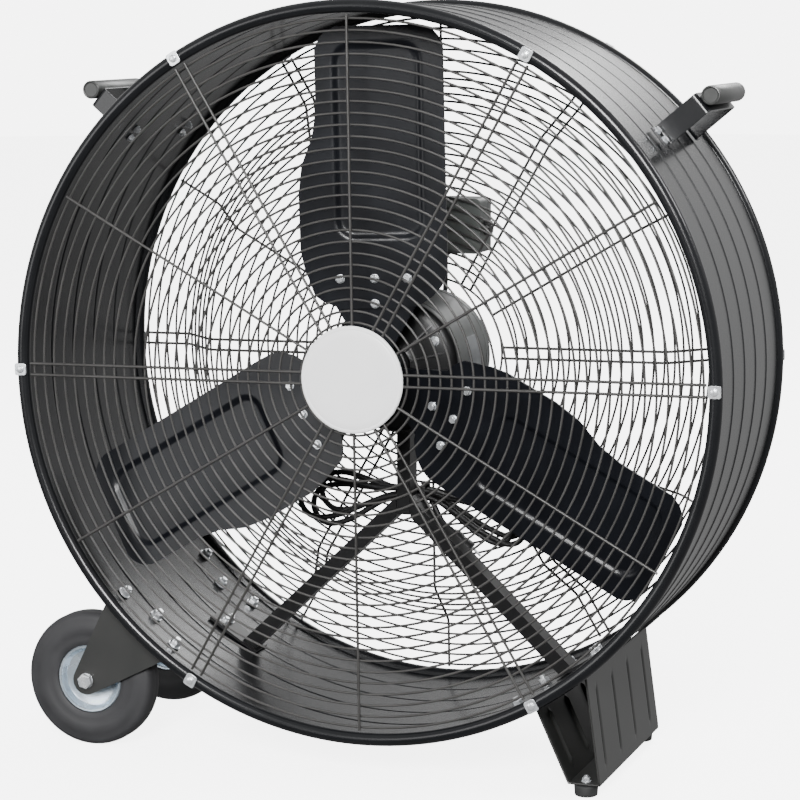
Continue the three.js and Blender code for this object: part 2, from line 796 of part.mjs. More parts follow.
/** The moulded plug along +X: strain relief, body, two blades and an earth pin. */
function cordPlug() {
  const relief = new THREE.CylinderGeometry(plugRadius - 6, cordRadius + 0.8, plugRelief, 12);
  relief.rotateZ(-Math.PI / 2).translate(plugRelief / 2, 0, 0);
  const start = plugRelief - 1;
  const body = new THREE.CylinderGeometry(plugRadius, plugRadius - plugTaper, plugLength, 16);
  body.rotateZ(-Math.PI / 2).translate(start + plugLength / 2, 0, 0);
  const face = start + plugLength;
  const blades = [-1, 1].map((side) => {
    const y = (side * plugBladeSpacing) / 2;
    return block([face - 1, y - 0.8, -1], [face + plugBladeLength, y + 0.8, 5]);
  });
  const earth = rodX(plugEarthRadius, face - 1, face + plugEarthLength, 0, -6, 10);
  return join(solid(relief), solid(body), ...blades, earth);
}

// Route of the cord from the strain relief to the hank, in the fan frame: out to the side, down
// behind the motor, forward between two rings of the guard and down to the hook.
const cordRoute = [
  [-42.6, glandY, 169],
  [-56, glandY, 169],
  [-70, glandY, 165],
  [-80, glandY, 157],
  [-88, glandY, 143],
  [-93, glandY, 124],
  [-94, 149, 101],
  [-93, 148.5, 69],
  [-90, 148, 37],
  [-84, 148, 5],
  [-76, 148, -27],
  [-66, 148, -57],
  [-55, 147, -83],
  [-46, 142, -105],
  [-39, 131, -122],
  [-33, 117, -130],
  [-28, 102, -133],
  [-22, 87, -136],
  [-16, 72, -142],
  [-11, 61, -152],
  [-9, 56.5, -163],
  [-9, 56, -169],
  [-9, 56, -175.3],
];

// Route of the short tail from the hank's waist to the plug, from the waist's middle underside.
const tailRoute = [
  [24, 0, -gap],
  [24, 0, -6],
  [26, 0, -13],
  [30.5, 0, -20],
  [37, 0, -27],
  [44.8, 0, -34.8],
].map(([x, y, z]) => [x, hankMiddleY + y, waistBottom + z]);

// Route of the lead from the switch box's underside to the boss on the motor's rear bell.
const leadTop = boxPlace[1] - boxHeight / 2 - gap;
const bossFace = motorBack + leadBossLength + gap;
const leadRoute = [
  [leadBossPlace[0], boxBack - leadRadius * 3.4, leadTop],
  [leadBossPlace[0], boxBack - leadRadius * 3.4, leadTop - 24],
  [leadBossPlace[0], boxBack - leadRadius * 3.5, leadTop - 42],
  [leadBossPlace[0], boxBack - leadRadius * 4.2, leadTop - 57],
  [leadBossPlace[0], (boxBack + bossFace) / 2 - 2.5, leadBossPlace[1] + 5],
  [leadBossPlace[0], bossFace + 8, leadBossPlace[1]],
  [leadBossPlace[0], bossFace + 4, leadBossPlace[1]],
  [leadBossPlace[0], bossFace, leadBossPlace[1]],
];

// ---- Assembly -----------------------------------------------------------------------------
add('drum_shell', drumShell(), blackPaint);
add('front_guard', frontGuard(), blackPaint);
add('rear_guard', rearGuard(), blackPaint);
add('rear_guard_middle', rearGuardMiddle(), blackPaint);
const badgeBack = -spokeY - spokeWire - gap;
add('front_badge', rodY(badgeRadius, badgeBack - badgeThickness, badgeBack, 36), whitePlastic);
for (let k = 0; k < clipCount; k += 1) {
  const turn = clipPhase + (360 * k) / clipCount;
  add(`guard_clip_front_${k + 1}`, guardClip(-1), zinc, { turn });
  add(`guard_clip_rear_${k + 1}`, guardClip(1), zinc, { turn });
}

for (const [side, turn] of [['right', handleAngle], ['left', 180 - handleAngle]]) {
  add(`handle_bracket_${side}`, handleBracket(), blackPaint, { turn });
  add(`handle_grip_${side}`, handleGrip(), greyPaint, { turn });
}

for (const [name, side] of [['front', -1], ['rear', 1]]) {
  const at = [wheelX, side * wheelPlaneY, floor + wheelRadius];
  const bushBore = axleRadius + gap;
  add(`wheel_bracket_${name}`, wheelFork(side * wheelPlaneY), blackPaint);
  add(`tyre_${name}`, tyre(), rubber, { at });
  add(`wheel_rim_${name}`, wheelRim(side), zinc, { at });
  const bushing = tubeY(bushBore, bushBore + bushWall, -hubHalfLength, hubHalfLength, 20);
  add(`wheel_bushing_${name}`, bushing, steel, { at });
  add(`axle_bolt_${name}`, axleBolt(side), zinc, { at });
  add(`axle_nut_${name}`, axleNut(side), zinc, { at });
  const footAt = [standFootX, side * (standHalfDepth - footInset), floor];
  add(`rubber_foot_${name}`, rubberFoot(), rubber, { at: footAt });
}
add('stand', stand(), blackPaint);

const shellEnds = [motorFront + bellDepth + gap, motorBack - bellDepth - gap];
const stackMiddle = (motorFront + motorBack) / 2;
const stackEnds = [stackMiddle - stackLength / 2, stackMiddle + stackLength / 2];
const shaftBore = shaftRadius + gap;
add('motor_shell', tubeY(motorRadius - motorWall, motorRadius, ...shellEnds, motorFacets), greyPaint);
add('motor_front_bell', motorBell(-1), greyPaint);
add('motor_rear_bell', rearBell(), greyPaint);
const statorOuterRadius = motorRadius - motorWall - 2 * gap;
const stator = tubeY(statorInnerRadius, statorOuterRadius, ...stackEnds, motorFacets);
add('motor_stator', stator, copperSteel);
add('motor_rotor', tubeY(shaftBore, statorInnerRadius - 2 * gap, ...stackEnds, motorFacets), steel);
add('motor_shaft', rodY(shaftRadius, bladeY - hubHalfThickness - 4, motorBack - 2, 24), steel);
const bearingEnds = [motorFront - noseLength + 3, motorFront - noseLength + 3 + bearingWidth];
add('bearing_front', tubeY(shaftBore, bearingRadius, ...bearingEnds, 24), steel);
const rearBearingEnds = bearingEnds.map((y) => motorFront + motorBack - y).reverse();
add('bearing_rear', tubeY(shaftBore, bearingRadius, ...rearBearingEnds, 24), steel);
add('motor_mount', motorMount(), greyPaint);
add('strut_left', strut(-1), greyPaint);
add('strut_right', strut(1), greyPaint);

add('fan_hub', fanHub(), blackPaint);
for (let k = 0; k < bladeCount; k += 1) {
  add(`blade_${k + 1}`, blade(), blackPaint, { turn: bladePhase - 90 + (360 * k) / bladeCount });
}

add('switch_box', switchBox(), greyPlastic);
const cover = roundedOutline(
  [[1, 1, 8], [-1, 1, 8], [-1, -1, 8], [1, -1, 8]].map(([sx, sz, r]) => [
    boxPlace[0] + (sx * boxWidth) / 2,
    boxPlace[1] + (sz * boxHeight) / 2,
    r,
  ]),
  3,
);
add('switch_box_cover', plateXZ(cover, boxBack + gap, boxBack + gap + coverThickness), greyPlastic);
const knobX = boxPlace[0] + boxWidth / 2;
const knobZ = boxPlace[1] - 3;
const knobFace = rodX(knobRadius, knobX + gap, knobX + gap + knobHeight, glandY, knobZ, 20);
const knobPointer = block(
  [knobX + gap + knobHeight - 1, glandY - 1.5, knobZ],
  [knobX + gap + knobHeight + 1.5, glandY + 1.5, knobZ + knobRadius - 1],
);
const spindle = rodX(knobSpindle, knobX - boxWall - 4, knobX + 2, glandY, knobZ, 12);
add('switch_knob', join(knobFace, knobPointer, spindle), blackPlastic);
add('cord_gland', cordGland(), blackPlastic);
add('motor_lead', cord(leadRoute, leadRadius, 8), cordJacket);
add('cord_lead', cord(cordRoute, cordRadius, 28), cordJacket);
add('cord_hank', cordHank(), cordJacket);
add('cord_tail', cord(tailRoute, cordRadius, 5), cordJacket);
const tailEnd = tailRoute.at(-1);
const plugPlace = { at: [tailEnd[0] + gap, tailEnd[1], tailEnd[2] - gap] };
add('cord_plug', cordPlug().rotate([0, plugAngle, 0]), blackPlastic, plugPlace);

export default fan;
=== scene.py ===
"""A wheeled drum fan of the 36 inch class, dressed over its packed mechanical model.

Every size below is in millimetres in the fan frame: the origin is on the fan's axis at the
middle of the drum's depth, Y runs along the axis and the front, where the air leaves, is at -Y.
"""

import json
import logging
import math
from collections.abc import Iterable, Sequence
from dataclasses import dataclass, field
from enum import Enum
from typing import Any

import bmesh
import bpy
from mathutils import Matrix, Quaternion, Vector


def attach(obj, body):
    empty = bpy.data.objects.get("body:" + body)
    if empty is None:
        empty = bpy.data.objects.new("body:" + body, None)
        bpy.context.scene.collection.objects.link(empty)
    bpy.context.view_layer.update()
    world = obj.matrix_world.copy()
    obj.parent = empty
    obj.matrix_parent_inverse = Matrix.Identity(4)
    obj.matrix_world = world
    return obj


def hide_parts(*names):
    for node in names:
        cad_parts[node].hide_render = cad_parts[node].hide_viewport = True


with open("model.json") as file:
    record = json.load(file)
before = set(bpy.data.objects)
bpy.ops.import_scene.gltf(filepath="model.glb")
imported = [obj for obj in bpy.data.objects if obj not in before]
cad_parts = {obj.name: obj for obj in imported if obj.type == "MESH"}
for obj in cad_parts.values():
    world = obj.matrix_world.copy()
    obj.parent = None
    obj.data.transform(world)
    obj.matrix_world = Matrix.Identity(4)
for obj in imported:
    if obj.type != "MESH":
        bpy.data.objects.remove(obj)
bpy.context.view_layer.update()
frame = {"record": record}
LOG = logging.getLogger("drum_fan")
MM = 0.001
TURN = 2 * math.pi
FRONTWARD = Vector((0, -1, 0))
BACKWARD = Vector((0, 1, 0))
UPWARD = Vector((0, 0, 1))


class Body(Enum):
    """The rigid bodies that a piece can ride on."""

    FRAME = "frame"
    ROTOR = "rotor"
    WHEEL_FRONT = "wheel_front"
    WHEEL_REAR = "wheel_rear"
    KNOB = "speed_knob"


class Shading(Enum):
    """How a piece's faces meet: the angle in degrees above which an edge stays sharp."""

    ROUND = 60
    FORMED = 35


def joint_place(name: str) -> Vector:
    """The rest position of a joint, in metres in the row frame.

    Args:
        name: The joint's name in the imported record.

    Returns:
        A point on the joint's axis.
    """
    joints = frame["record"]["behaviour"]["joints"]
    return Vector(next(j["pos_m"] for j in joints if j["name"] == name))


AXIS = joint_place("rotor_spin")
WHEEL_AXLE = {end: joint_place(f"wheel_spin_{end}") for end in ("front", "rear")}


def polar(radius: float, degrees: float, y: float = 0.0) -> Vector:
    """A point at a radius and an angle from +X about the fan's axis."""
    angle = math.radians(degrees)
    return Vector((radius * math.cos(angle), y, radius * math.sin(angle)))


def about_axis(degrees: float) -> Matrix:
    """A turn about the fan's axis that takes +X towards +Z."""
    return Matrix.Rotation(math.radians(-degrees), 4, "Y")


# ---- Finishes -------------------------------------------------------------------------------


def linear(code: str) -> tuple[float, float, float, float]:
    """Turns an sRGB hex colour into linear light.

    Args:
        code: Six hex digits, with or without a leading #.

    Returns:
        Linear red, green and blue, and an alpha of 1.
    """
    digits = code.lstrip("#")
    parts = [int(digits[k : k + 2], 16) / 255 for k in (0, 2, 4)]
    light = [c / 12.92 if c <= 0.04045 else ((c + 0.055) / 1.055) ** 2.4 for c in parts]
    return (light[0], light[1], light[2], 1.0)


def add_node(
    tree: bpy.types.NodeTree,
    kind: str,
    settings: dict[Any, Any] | None = None,
    links: dict[Any, bpy.types.NodeSocket] | None = None,
) -> bpy.types.Node:
    """Adds one node to a material's tree.

    Args:
        tree: The tree that gets the node.
        kind: The node's type name.
        settings: Socket names or numbers, or node properties, with their values.
        links: Input sockets, by name or number, with what feeds them.

    Returns:
        The new node.
    """
    node = tree.nodes.new(kind)
    for key, value in (settings or {}).items():
        if isinstance(key, int) or key in node.inputs:
            node.inputs[key].default_value = value
        else:
            setattr(node, key, value)
    for key, source in (links or {}).items():
        tree.links.new(source, node.inputs[key])
    return node


@dataclass(frozen=True)
class Finish:
    """A surface: a base colour that drifts between two shades, gloss, and a fine relief.

    Attributes:
        name: What the surface is made of and how.
        shade: The darker of its two sRGB shades.
        tint: The lighter of its two sRGB shades.
        roughness: The smooth and the rough end of its gloss.
        metallic: 1 for bare or plated metal.
        ior: Refractive index, for what isn't metal.
        drift_mm: Size of the cloudy drift between the two shades.
        relief_mm: Size of one bump of the fine relief.
        depth_mm: Height of that relief.
        coat: Weight of a clear skin over the colour.
        specular: How strongly it mirrors, where 0.5 is what its IOR alone would give.
        slot: The record's material slot.
    """

    name: str
    shade: str
    tint: str
    roughness: tuple[float, float]
    slot: str
    metallic: float = 0.0
    ior: float = 1.5
    drift_mm: float = 60.0
    relief_mm: float = 1.5
    depth_mm: float = 0.02
    coat: float = 0.0
    specular: float = 0.5

    def pattern(self, tree: bpy.types.NodeTree, place: bpy.types.NodeSocket) -> bpy.types.NodeSocket:
        """The height of the fine relief over the surface: grain as fine as relief_mm.

        Args:
            tree: The material's tree.
            place: Coordinates in metres.

        Returns:
            A socket with heights from 0 to 1.
        """
        grain = {"Scale": 1 / (self.relief_mm * MM), "Detail": 2.0, "Roughness": 0.5}
        return add_node(tree, "ShaderNodeTexNoise", grain, {"Vector": place}).outputs["Fac"]

    def material(self) -> bpy.types.Material:
        """Builds the material once and gives the same one back after that."""
        known = bpy.data.materials.get(self.name)
        if known:
            return known
        made = bpy.data.materials.new(self.name)
        made.use_nodes = True
        tree = made.node_tree
        tree.nodes.clear()
        place = add_node(tree, "ShaderNodeTexCoord").outputs["Object"]
        cloud = {"Scale": 1 / (self.drift_mm * MM), "Detail": 3.0}
        drift = add_node(tree, "ShaderNodeTexNoise", cloud, {"Vector": place}).outputs["Fac"]
        colour = add_node(tree, "ShaderNodeValToRGB", {}, {"Fac": drift})
        low, high = colour.color_ramp.elements
        low.position, high.position = 0.3, 0.7
        low.color, high.color = linear(self.shade), linear(self.tint)
        height = self.pattern(tree, place)
        gloss = add_node(
            tree,
            "ShaderNodeMapRange",
            {"To Min": self.roughness[0], "To Max": self.roughness[1]},
            {"Value": drift},
        )
        relief = {"Strength": 1.0, "Distance": self.depth_mm * MM}
        bump = add_node(tree, "ShaderNodeBump", relief, {"Height": height})
        shader = add_node(
            tree,
            "ShaderNodeBsdfPrincipled",
            {
                "Metallic": self.metallic,
                "IOR": self.ior,
                "Specular IOR Level": self.specular,
                "Coat Weight": self.coat,
                "Coat Roughness": 0.12,
            },
            {
                "Base Color": colour.outputs["Color"],
                "Roughness": gloss.outputs["Result"],
                "Normal": bump.outputs["Normal"],
            },
        )
        add_node(tree, "ShaderNodeOutputMaterial", {}, {"Surface": shader.outputs["BSDF"]})
        return made


@dataclass(frozen=True)
class Spangled(Finish):
    """Plated metal whose crystals show as small facets of slightly different height."""

    def pattern(self, tree: bpy.types.NodeTree, place: bpy.types.NodeSocket) -> bpy.types.NodeSocket:
        """Facets of the plating, each relief_mm across."""
        facets = {"Scale": 1 / (self.relief_mm * MM), "feature": "F1"}
        return add_node(tree, "ShaderNodeTexVoronoi", facets, {"Vector": place}).outputs["Distance"]


@dataclass(frozen=True)
class Turned(Finish):
    """Metal or rubber with fine marks that run round the fan's direction of turning."""

    def pattern(self, tree: bpy.types.NodeTree, place: bpy.types.NodeSocket) -> bpy.types.NodeSocket:
        """Tool marks across Y, relief_mm apart."""
        marks = {"bands_direction": "Y", "Scale": 1 / (20 * self.relief_mm * MM), "Distortion": 0.6}
        return add_node(tree, "ShaderNodeTexWave", marks, {"Vector": place}).outputs["Fac"]


# Black epoxy powder coat, sprayed and baked: it flows into a faint orange peel a few
# millimetres across, so its reflections of the room are soft-edged and slightly wavy.
POWDER_COAT = Finish(
    "epoxy_powder_coat_black", "101113", "151618", (0.24, 0.27), "black_paint",
    relief_mm=3.0, depth_mm=0.002, coat=0.08, specular=0.34,
)
# The same coat baked on rolled blade steel: flatter and a little bluer in the light.
BLADE_COAT = Finish(
    "epoxy_powder_coat_blue_black", "0b0c10", "111318", (0.27, 0.35), "black_paint",
    relief_mm=2.2, depth_mm=0.002, coat=0.05, specular=0.24,
)
# Dip-coated guard wire: duller than the sheet, because the coat pulls thin on a small radius.
WIRE_COAT = Finish(
    "dip_coated_wire", "2d2c2b", "3a3938", (0.36, 0.46), "black_paint", relief_mm=1.2, depth_mm=0.01,
)
# Textured powder coat of the forks and the stand: rougher and greyer, so it looks satin.
TEXTURED_COAT = Finish(
    "textured_powder_coat", "222322", "2a2a29", (0.38, 0.46), "black_paint",
    relief_mm=1.6, depth_mm=0.01,
)
# Grey machine enamel over cast and rolled steel: satin, with an even fine stipple.
ENAMEL = Finish(
    "machine_enamel_grey", "555857", "606362", (0.36, 0.45), "grey_paint",
    relief_mm=1.4, depth_mm=0.02,
)
# Dark enamel on the motor's mount and struts, sprayed thin: satin black. The front bell gets it too, as
# painted shade: there its black stands in for the shadow that falls on that bell.
MOUNT_ENAMEL_AND_BELL_SHADE = Finish(
    "machine_enamel_black_and_bell_shade", "0e0e0f", "141415", (0.32, 0.42), "grey_paint",
    relief_mm=1.6, depth_mm=0.006, specular=0.3,
)
# Bright zinc electroplate: a cool white metal with small cloudy facets.
ZINC = Spangled(
    "bright_zinc_plate", "d3d7db", "eceef0", (0.2, 0.32), "zinc", metallic=0.7,
    drift_mm=14.0, relief_mm=2.5, depth_mm=0.01,
)
# Deep-drawn zinc-plated wheel rim: bluer, with faint rings from the drawing die.
RIM_ZINC = Turned(
    "drawn_zinc_plate", "b3c2cf", "d8e2ea", (0.2, 0.32), "zinc", metallic=0.75,
    drift_mm=25.0, relief_mm=1.2, depth_mm=0.01,
)
# Turned carbon steel of the shaft, bushings and rotor: grey with fine tool marks.
STEEL = Turned(
    "turned_carbon_steel", "7c7f82", "94979a", (0.26, 0.38), "machined_steel", metallic=1.0,
    drift_mm=20.0, relief_mm=0.8, depth_mm=0.01,
)
# Varnished copper windings in laminated steel: brown, with lines across the stack.
WINDINGS = Turned(
    "varnished_windings", "5f3520", "8a5230", (0.35, 0.5), "windings", metallic=0.6,
    drift_mm=6.0, relief_mm=1.0, depth_mm=0.1,
)
# Compression-moulded solid rubber: dark grey, dull, with a dusty drift of tone.
TYRE = Finish(
    "moulded_solid_rubber", "222224", "2b2b2d", (0.6, 0.75), "tyre_rubber",
    ior=1.52, drift_mm=35.0, relief_mm=1.0, depth_mm=0.04,
)
# Soft moulded rubber of the feet: nearly black and matt.
FOOT = Finish(
    "moulded_foot_rubber", "1e1f1f", "272828", (0.6, 0.75), "foot_rubber",
    ior=1.52, drift_mm=12.0, relief_mm=0.8, depth_mm=0.04,
)
# Injection-moulded white ABS of the badge: smooth with a silky gloss.
BADGE = Finish(
    "moulded_abs_white", "f4f4f5", "fafafa", (0.3, 0.36), "badge_plastic", ior=1.54, depth_mm=0.004,
)
# Injection-moulded grey ABS of the switch box: a spark-eroded texture dulls it.
BOX_PLASTIC = Finish(
    "moulded_abs_grey", "434745", "4d514f", (0.42, 0.5), "grey_plastic",
    ior=1.54, drift_mm=30.0, relief_mm=0.9, depth_mm=0.03,
)
# Moulded black nylon of the knob, gland, tie and plug: fine-grained satin.
NYLON = Finish(
    "moulded_nylon_black", "141415", "1c1c1d", (0.4, 0.52), "black_plastic",
    ior=1.53, drift_mm=15.0, relief_mm=0.9, depth_mm=0.03,
)
# Grey vinyl sleeve on the handle tube: satin, slightly mottled.
GRIP_VINYL = Finish(
    "dipped_vinyl_grey", "2a2b2a", "343534", (0.34, 0.44), "grey_paint",
    ior=1.53, drift_mm=18.0, relief_mm=1.2, depth_mm=0.03,
)
# Extruded rubber cord jacket: black, dull, with faint draw lines.
JACKET = Finish(
    "extruded_cord_jacket", "121213", "1b1b1c", (0.48, 0.6), "cord_jacket",
    ior=1.52, drift_mm=20.0, relief_mm=0.7, depth_mm=0.02,
)


# ---- Mesh building --------------------------------------------------------------------------


@dataclass
class Shape:
    """A mesh under construction, in millimetres in the fan frame."""

    points: list[Vector] = field(default_factory=list)
    faces: list[tuple[int, ...]] = field(default_factory=list)

    def lattice(self, rows: Sequence[Sequence[Vector]], wrap_rows: bool, wrap_columns: bool) -> None:
        """Adds a surface through rows of points.

        Args:
            rows: Equally long rows.
            wrap_rows: Whether the last row joins the first.
            wrap_columns: Whether each row closes on itself.
        """
        start, width, height = len(self.points), len(rows[0]), len(rows)
        for row in rows:
            self.points.extend(row)
        for j in range(height if wrap_rows else height - 1):
            below, above = start + j * width, start + (j + 1) % height * width
            for i in range(width if wrap_columns else width - 1):
                after = (i + 1) % width
                self.faces.append((below + i, below + after, above + after, above + i))

    def lathe(self, profile: Sequence[tuple[float, float]], steps: int = 64, closed: bool = True,
              centre: Vector = Vector()) -> None:
        """Revolves a profile about Y.

        Args:
            profile: Points of radius and y.
            steps: Facets round the axis.
            closed: Whether the profile closes on itself; else its two ends lie on the axis.
            centre: Where the profile's own origin is.
        """
        rows = [
            [centre + polar(r, 360 * k / steps, y) for r, y in profile] for k in range(steps)
        ]
        self.lattice(rows, True, closed)

    def spin(self, profile: Sequence[tuple[float, float]], steps: int, centre: Vector = Vector()) -> None:
        """Revolves a profile about Z.

        Args:
            profile: Points of radius and height.
            steps: Facets round the axis.
            centre: Where the profile's own origin is.
        """
        rows = [
            [centre + Vector((r * math.cos(a), r * math.sin(a), z)) for r, z in profile]
            for a in steps_round(steps)
        ]
        self.lattice(rows, True, False)

    def tube(self, path: Sequence[Vector], radius: float, sides: int = 8, closed: bool = False) -> None:
        """Sweeps a round section along a path, with flat ends where the path is open.

        Args:
            path: Points along the centre line.
            radius: Radius of the section.
            sides: Corners of the section.
            closed: Whether the path is a loop.
        """
        count = len(path)
        tangents = []
        for k in range(count):
            before = path[(k - 1) % count] if closed or k else path[k]
            after = path[(k + 1) % count] if closed or k < count - 1 else path[k]
            tangents.append((after - before).normalized())
        side = tangents[0].orthogonal().normalized()
        rows = []
        for k, tangent in enumerate(tangents):
            side = (side - tangent * side.dot(tangent)).normalized()
            other = tangent.cross(side)
            angles = [TURN * i / sides for i in range(sides)]
            rows.append([path[k] + radius * (side * math.cos(a) + other * math.sin(a)) for a in angles])
        start = len(self.points)
        self.lattice(rows, closed, True)
        if not closed:
            self.faces.append(tuple(range(start + sides - 1, start - 1, -1)))
            last = start + (count - 1) * sides
            self.faces.append(tuple(range(last, last + sides)))

    def prism(self, outline: Sequence[Vector], rise: Vector) -> None:
        """Draws a flat outline out along a vector."""
        start, count = len(self.points), len(outline)
        self.points.extend(outline)
        self.points.extend(p + rise for p in outline)
        self.faces.append(tuple(range(start, start + count)))
        self.faces.append(tuple(range(start + 2 * count - 1, start + count - 1, -1)))
        for i in range(count):
            j = (i + 1) % count
            self.faces.append((start + j, start + i, start + count + i, start + count + j))

    def plate(self, outline: Sequence[tuple[float, float]], y0: float, y1: float) -> None:
        """A flat plate square to the fan's axis, from an outline of x and z."""
        self.prism([Vector((x, y0, z)) for x, z in outline], Vector((0, y1 - y0, 0)))

    def merge(self, other: "Shape", place: Matrix) -> None:
        """Adds a moved copy of another shape."""
        start = len(self.points)
        self.points.extend(place @ p for p in other.points)
        self.faces.extend(tuple(start + i for i in face) for face in other.faces)

    def moved(self, place: Matrix) -> "Shape":
        """A moved copy of this shape."""
        copy = Shape()
        copy.merge(self, place)
        return copy

    def build(
        self,
        name: str,
        finish: Finish,
        body: Body = Body.FRAME,
        shading: Shading = Shading.FORMED,
        bevel: float = 0.0,
        replaces: Iterable[str] = (),
    ) -> bpy.types.Object:
        """Makes the Blender object and says what it rides on and stands for.

        Args:
            name: The piece's name.
            finish: Its surface.
            body: The body it moves with.
            shading: Which edges stay sharp.
            bevel: Width of the rounding on its sharp edges, or 0.
            replaces: CAD nodes that it stands for.

        Returns:
            The new object.
        """
        mesh = bpy.data.meshes.new(name)
        mesh.from_pydata([AXIS + p * MM for p in self.points], [], self.faces)
        mesh.validate()
        made = bpy.data.objects.new(name, mesh)
        bpy.context.scene.collection.objects.link(made)
        fix_normals(mesh)
        mesh.shade_smooth()
        mesh.set_sharp_from_angle(angle=math.radians(shading.value))
        mesh.materials.append(finish.material())
        if bevel:
            rounding = made.modifiers.new("rounded_edges", "BEVEL")
            rounding.width = bevel * MM
            rounding.segments = 2
            rounding.limit_method = "ANGLE"
            rounding.angle_limit = math.radians(shading.value)
            rounding.harden_normals = True
        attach(made, body.value)
        if replaces:
            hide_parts(*replaces)
        LOG.info("%s: %d faces, %s", name, len(self.faces), finish.name)
        return made


def fix_normals(mesh: bpy.types.Mesh) -> None:
    """Turns every face of a mesh outwards."""
    work = bmesh.new()
    work.from_mesh(mesh)
    bmesh.ops.recalc_face_normals(work, faces=work.faces)
    work.to_mesh(mesh)
    work.free()


def arc(radius: float, start: float, end: float, steps: int) -> list[tuple[float, float]]:
    """Points of an arc in degrees about the fan's axis, both ends included."""
    spots = [polar(radius, start + (end - start) * k / steps) for k in range(steps + 1)]
    return [(p.x, p.z) for p in spots]


def rounded(corners: Sequence[tuple[float, float, float]], steps: int = 6) -> list[tuple[float, float]]:
    """Rounds the corners of a polygon.

    Args:
        corners: Each corner's two coordinates and its radius.
        steps: Facets of each rounding.

    Returns:
        The outline's points.
    """
    outline: list[tuple[float, float]] = []
    for k, (x, z, radius) in enumerate(corners):
        corner = Vector((x, z))
        back = (Vector(corners[k - 1][:2]) - corner).normalized()
        ahead = (Vector(corners[(k + 1) % len(corners)][:2]) - corner).normalized()
        half = math.acos(max(-1.0, min(1.0, back.dot(ahead)))) / 2
        if radius <= 0 or half > 1.55:
            outline.append((x, z))
            continue
        centre = corner + (back + ahead).normalized() * radius / math.sin(half)
        first = corner + back * radius / math.tan(half) - centre
        last = corner + ahead * radius / math.tan(half) - centre
        sweep = math.atan2(first.x * last.y - first.y * last.x, first.dot(last))
        for s in range(steps + 1):
            angle = sweep * s / steps
            turn = Matrix.Rotation(angle, 2)
            spot = turn @ first + centre
            outline.append((spot.x, spot.y))
    return outline


def bent_strip(path: Sequence[tuple[float, float]], thickness: float) -> list[tuple[float, float]]:
    """The outline of a sheet of even thickness bent along points."""
    spots = [Vector(p) for p in path]
    normals = []
    for a, b in zip(spots, spots[1:]):
        along = (b - a).normalized()
        normals.append(Vector((-along.y, along.x)))
    near, far = [], []
    for k, spot in enumerate(spots):
        before, after = normals[max(k - 1, 0)], normals[min(k, len(normals) - 1)]
        mitre = (before + after).normalized()
        reach = mitre * thickness / 2 / mitre.dot(before)
        near.append(tuple(spot + reach))
        far.append(tuple(spot - reach))
    return near + far[::-1]


def hex_bolt(across: float, height: float, washer: float, shank: float = 0.0) -> Shape:
    """A hexagon head on its washer, standing on the plane z = 0 and pointing to +Z.

    Args:
        across: Width across the corners.
        height: Height of the head.
        washer: Radius of the washer or flange, or 0 for none.
        shank: Length of thread that shows above the head, as on a nut.

    Returns:
        The bolt's shape.
    """
    bolt = Shape()
    base = 0.0
    if washer:
        base = 1.4
        bolt.prism(circle(washer, 20), Vector((0, 0, base)))
    sections = ((across / 2, base), (across / 2, base + height * 0.8), (across * 0.42, base + height))
    rows = [circle(radius, 6, z) for radius, z in sections]
    start = len(bolt.points)
    bolt.lattice(rows, False, True)
    bolt.faces.append(tuple(range(start + 12, start + 18)))
    if shank:
        bolt.prism(circle(across * 0.26, 12, base), Vector((0, 0, height + shank)))
    return bolt


def circle(radius: float, count: int, z: float = 0.0) -> list[Vector]:
    """Points evenly round Z, at one height."""
    return [Vector((radius * math.cos(a), radius * math.sin(a), z)) for a in steps_round(count)]


@dataclass(frozen=True)
class Fastener:
    """A hexagon head or nut: its width, height, washer radius and the thread that shows."""

    across: float
    height: float
    washer: float
    thread: float = 0.0

    def shape(self) -> Shape:
        """Its shape, standing on z = 0."""
        return hex_bolt(self.across, self.height, self.washer, self.thread)


HANDLE_HEAD, HANDLE_NUT = Fastener(9.5, 3.6, 5.6), Fastener(9.5, 4.0, 5.6, 3.0)
DRUM_HEAD, DRUM_NUT = Fastener(11.5, 4.4, 6.6), Fastener(15.5, 7.0, 9.0, 4.0)
STRUT_NUT = Fastener(13.0, 5.6, 7.4, 3.6)
BLADE_HEAD, BLADE_NUT = Fastener(10.5, 5.0, 6.2), Fastener(11.0, 5.4, 6.4, 3.0)
TIE_HEAD, TIE_NUT = Fastener(11.0, 4.0, 6.6), Fastener(11.0, 4.0, 6.6, 2.0)
AXLE_HEAD, AXLE_NUT = Fastener(21.5, 6.6, 10.6), Fastener(21.5, 6.4, 10.6)
SHAFT_NUT = Fastener(27.0, 9.0, 15.5)
FOOT_NUT = Fastener(11.0, 4.4, 6.8, 2.6)
CLIP_SCREW = Fastener(10.0, 1.9, 5.2)
LEAD_GLAND = Fastener(15.6, 5.2, 0.0)


def steps_round(count: int) -> list[float]:
    """Equal angles round a circle, in radians."""
    return [TURN * k / count for k in range(count)]


def standing(point: Vector, normal: Vector, spin: float = 0.0) -> Matrix:
    """The place of a shape drawn along +Z that stands on a point, along a normal."""
    turn = normal.to_track_quat("Z", "Y").to_matrix().to_4x4()
    return Matrix.Translation(point) @ turn @ Matrix.Rotation(spin, 4, "Z")


# ---- Drum and guards ------------------------------------------------------------------------


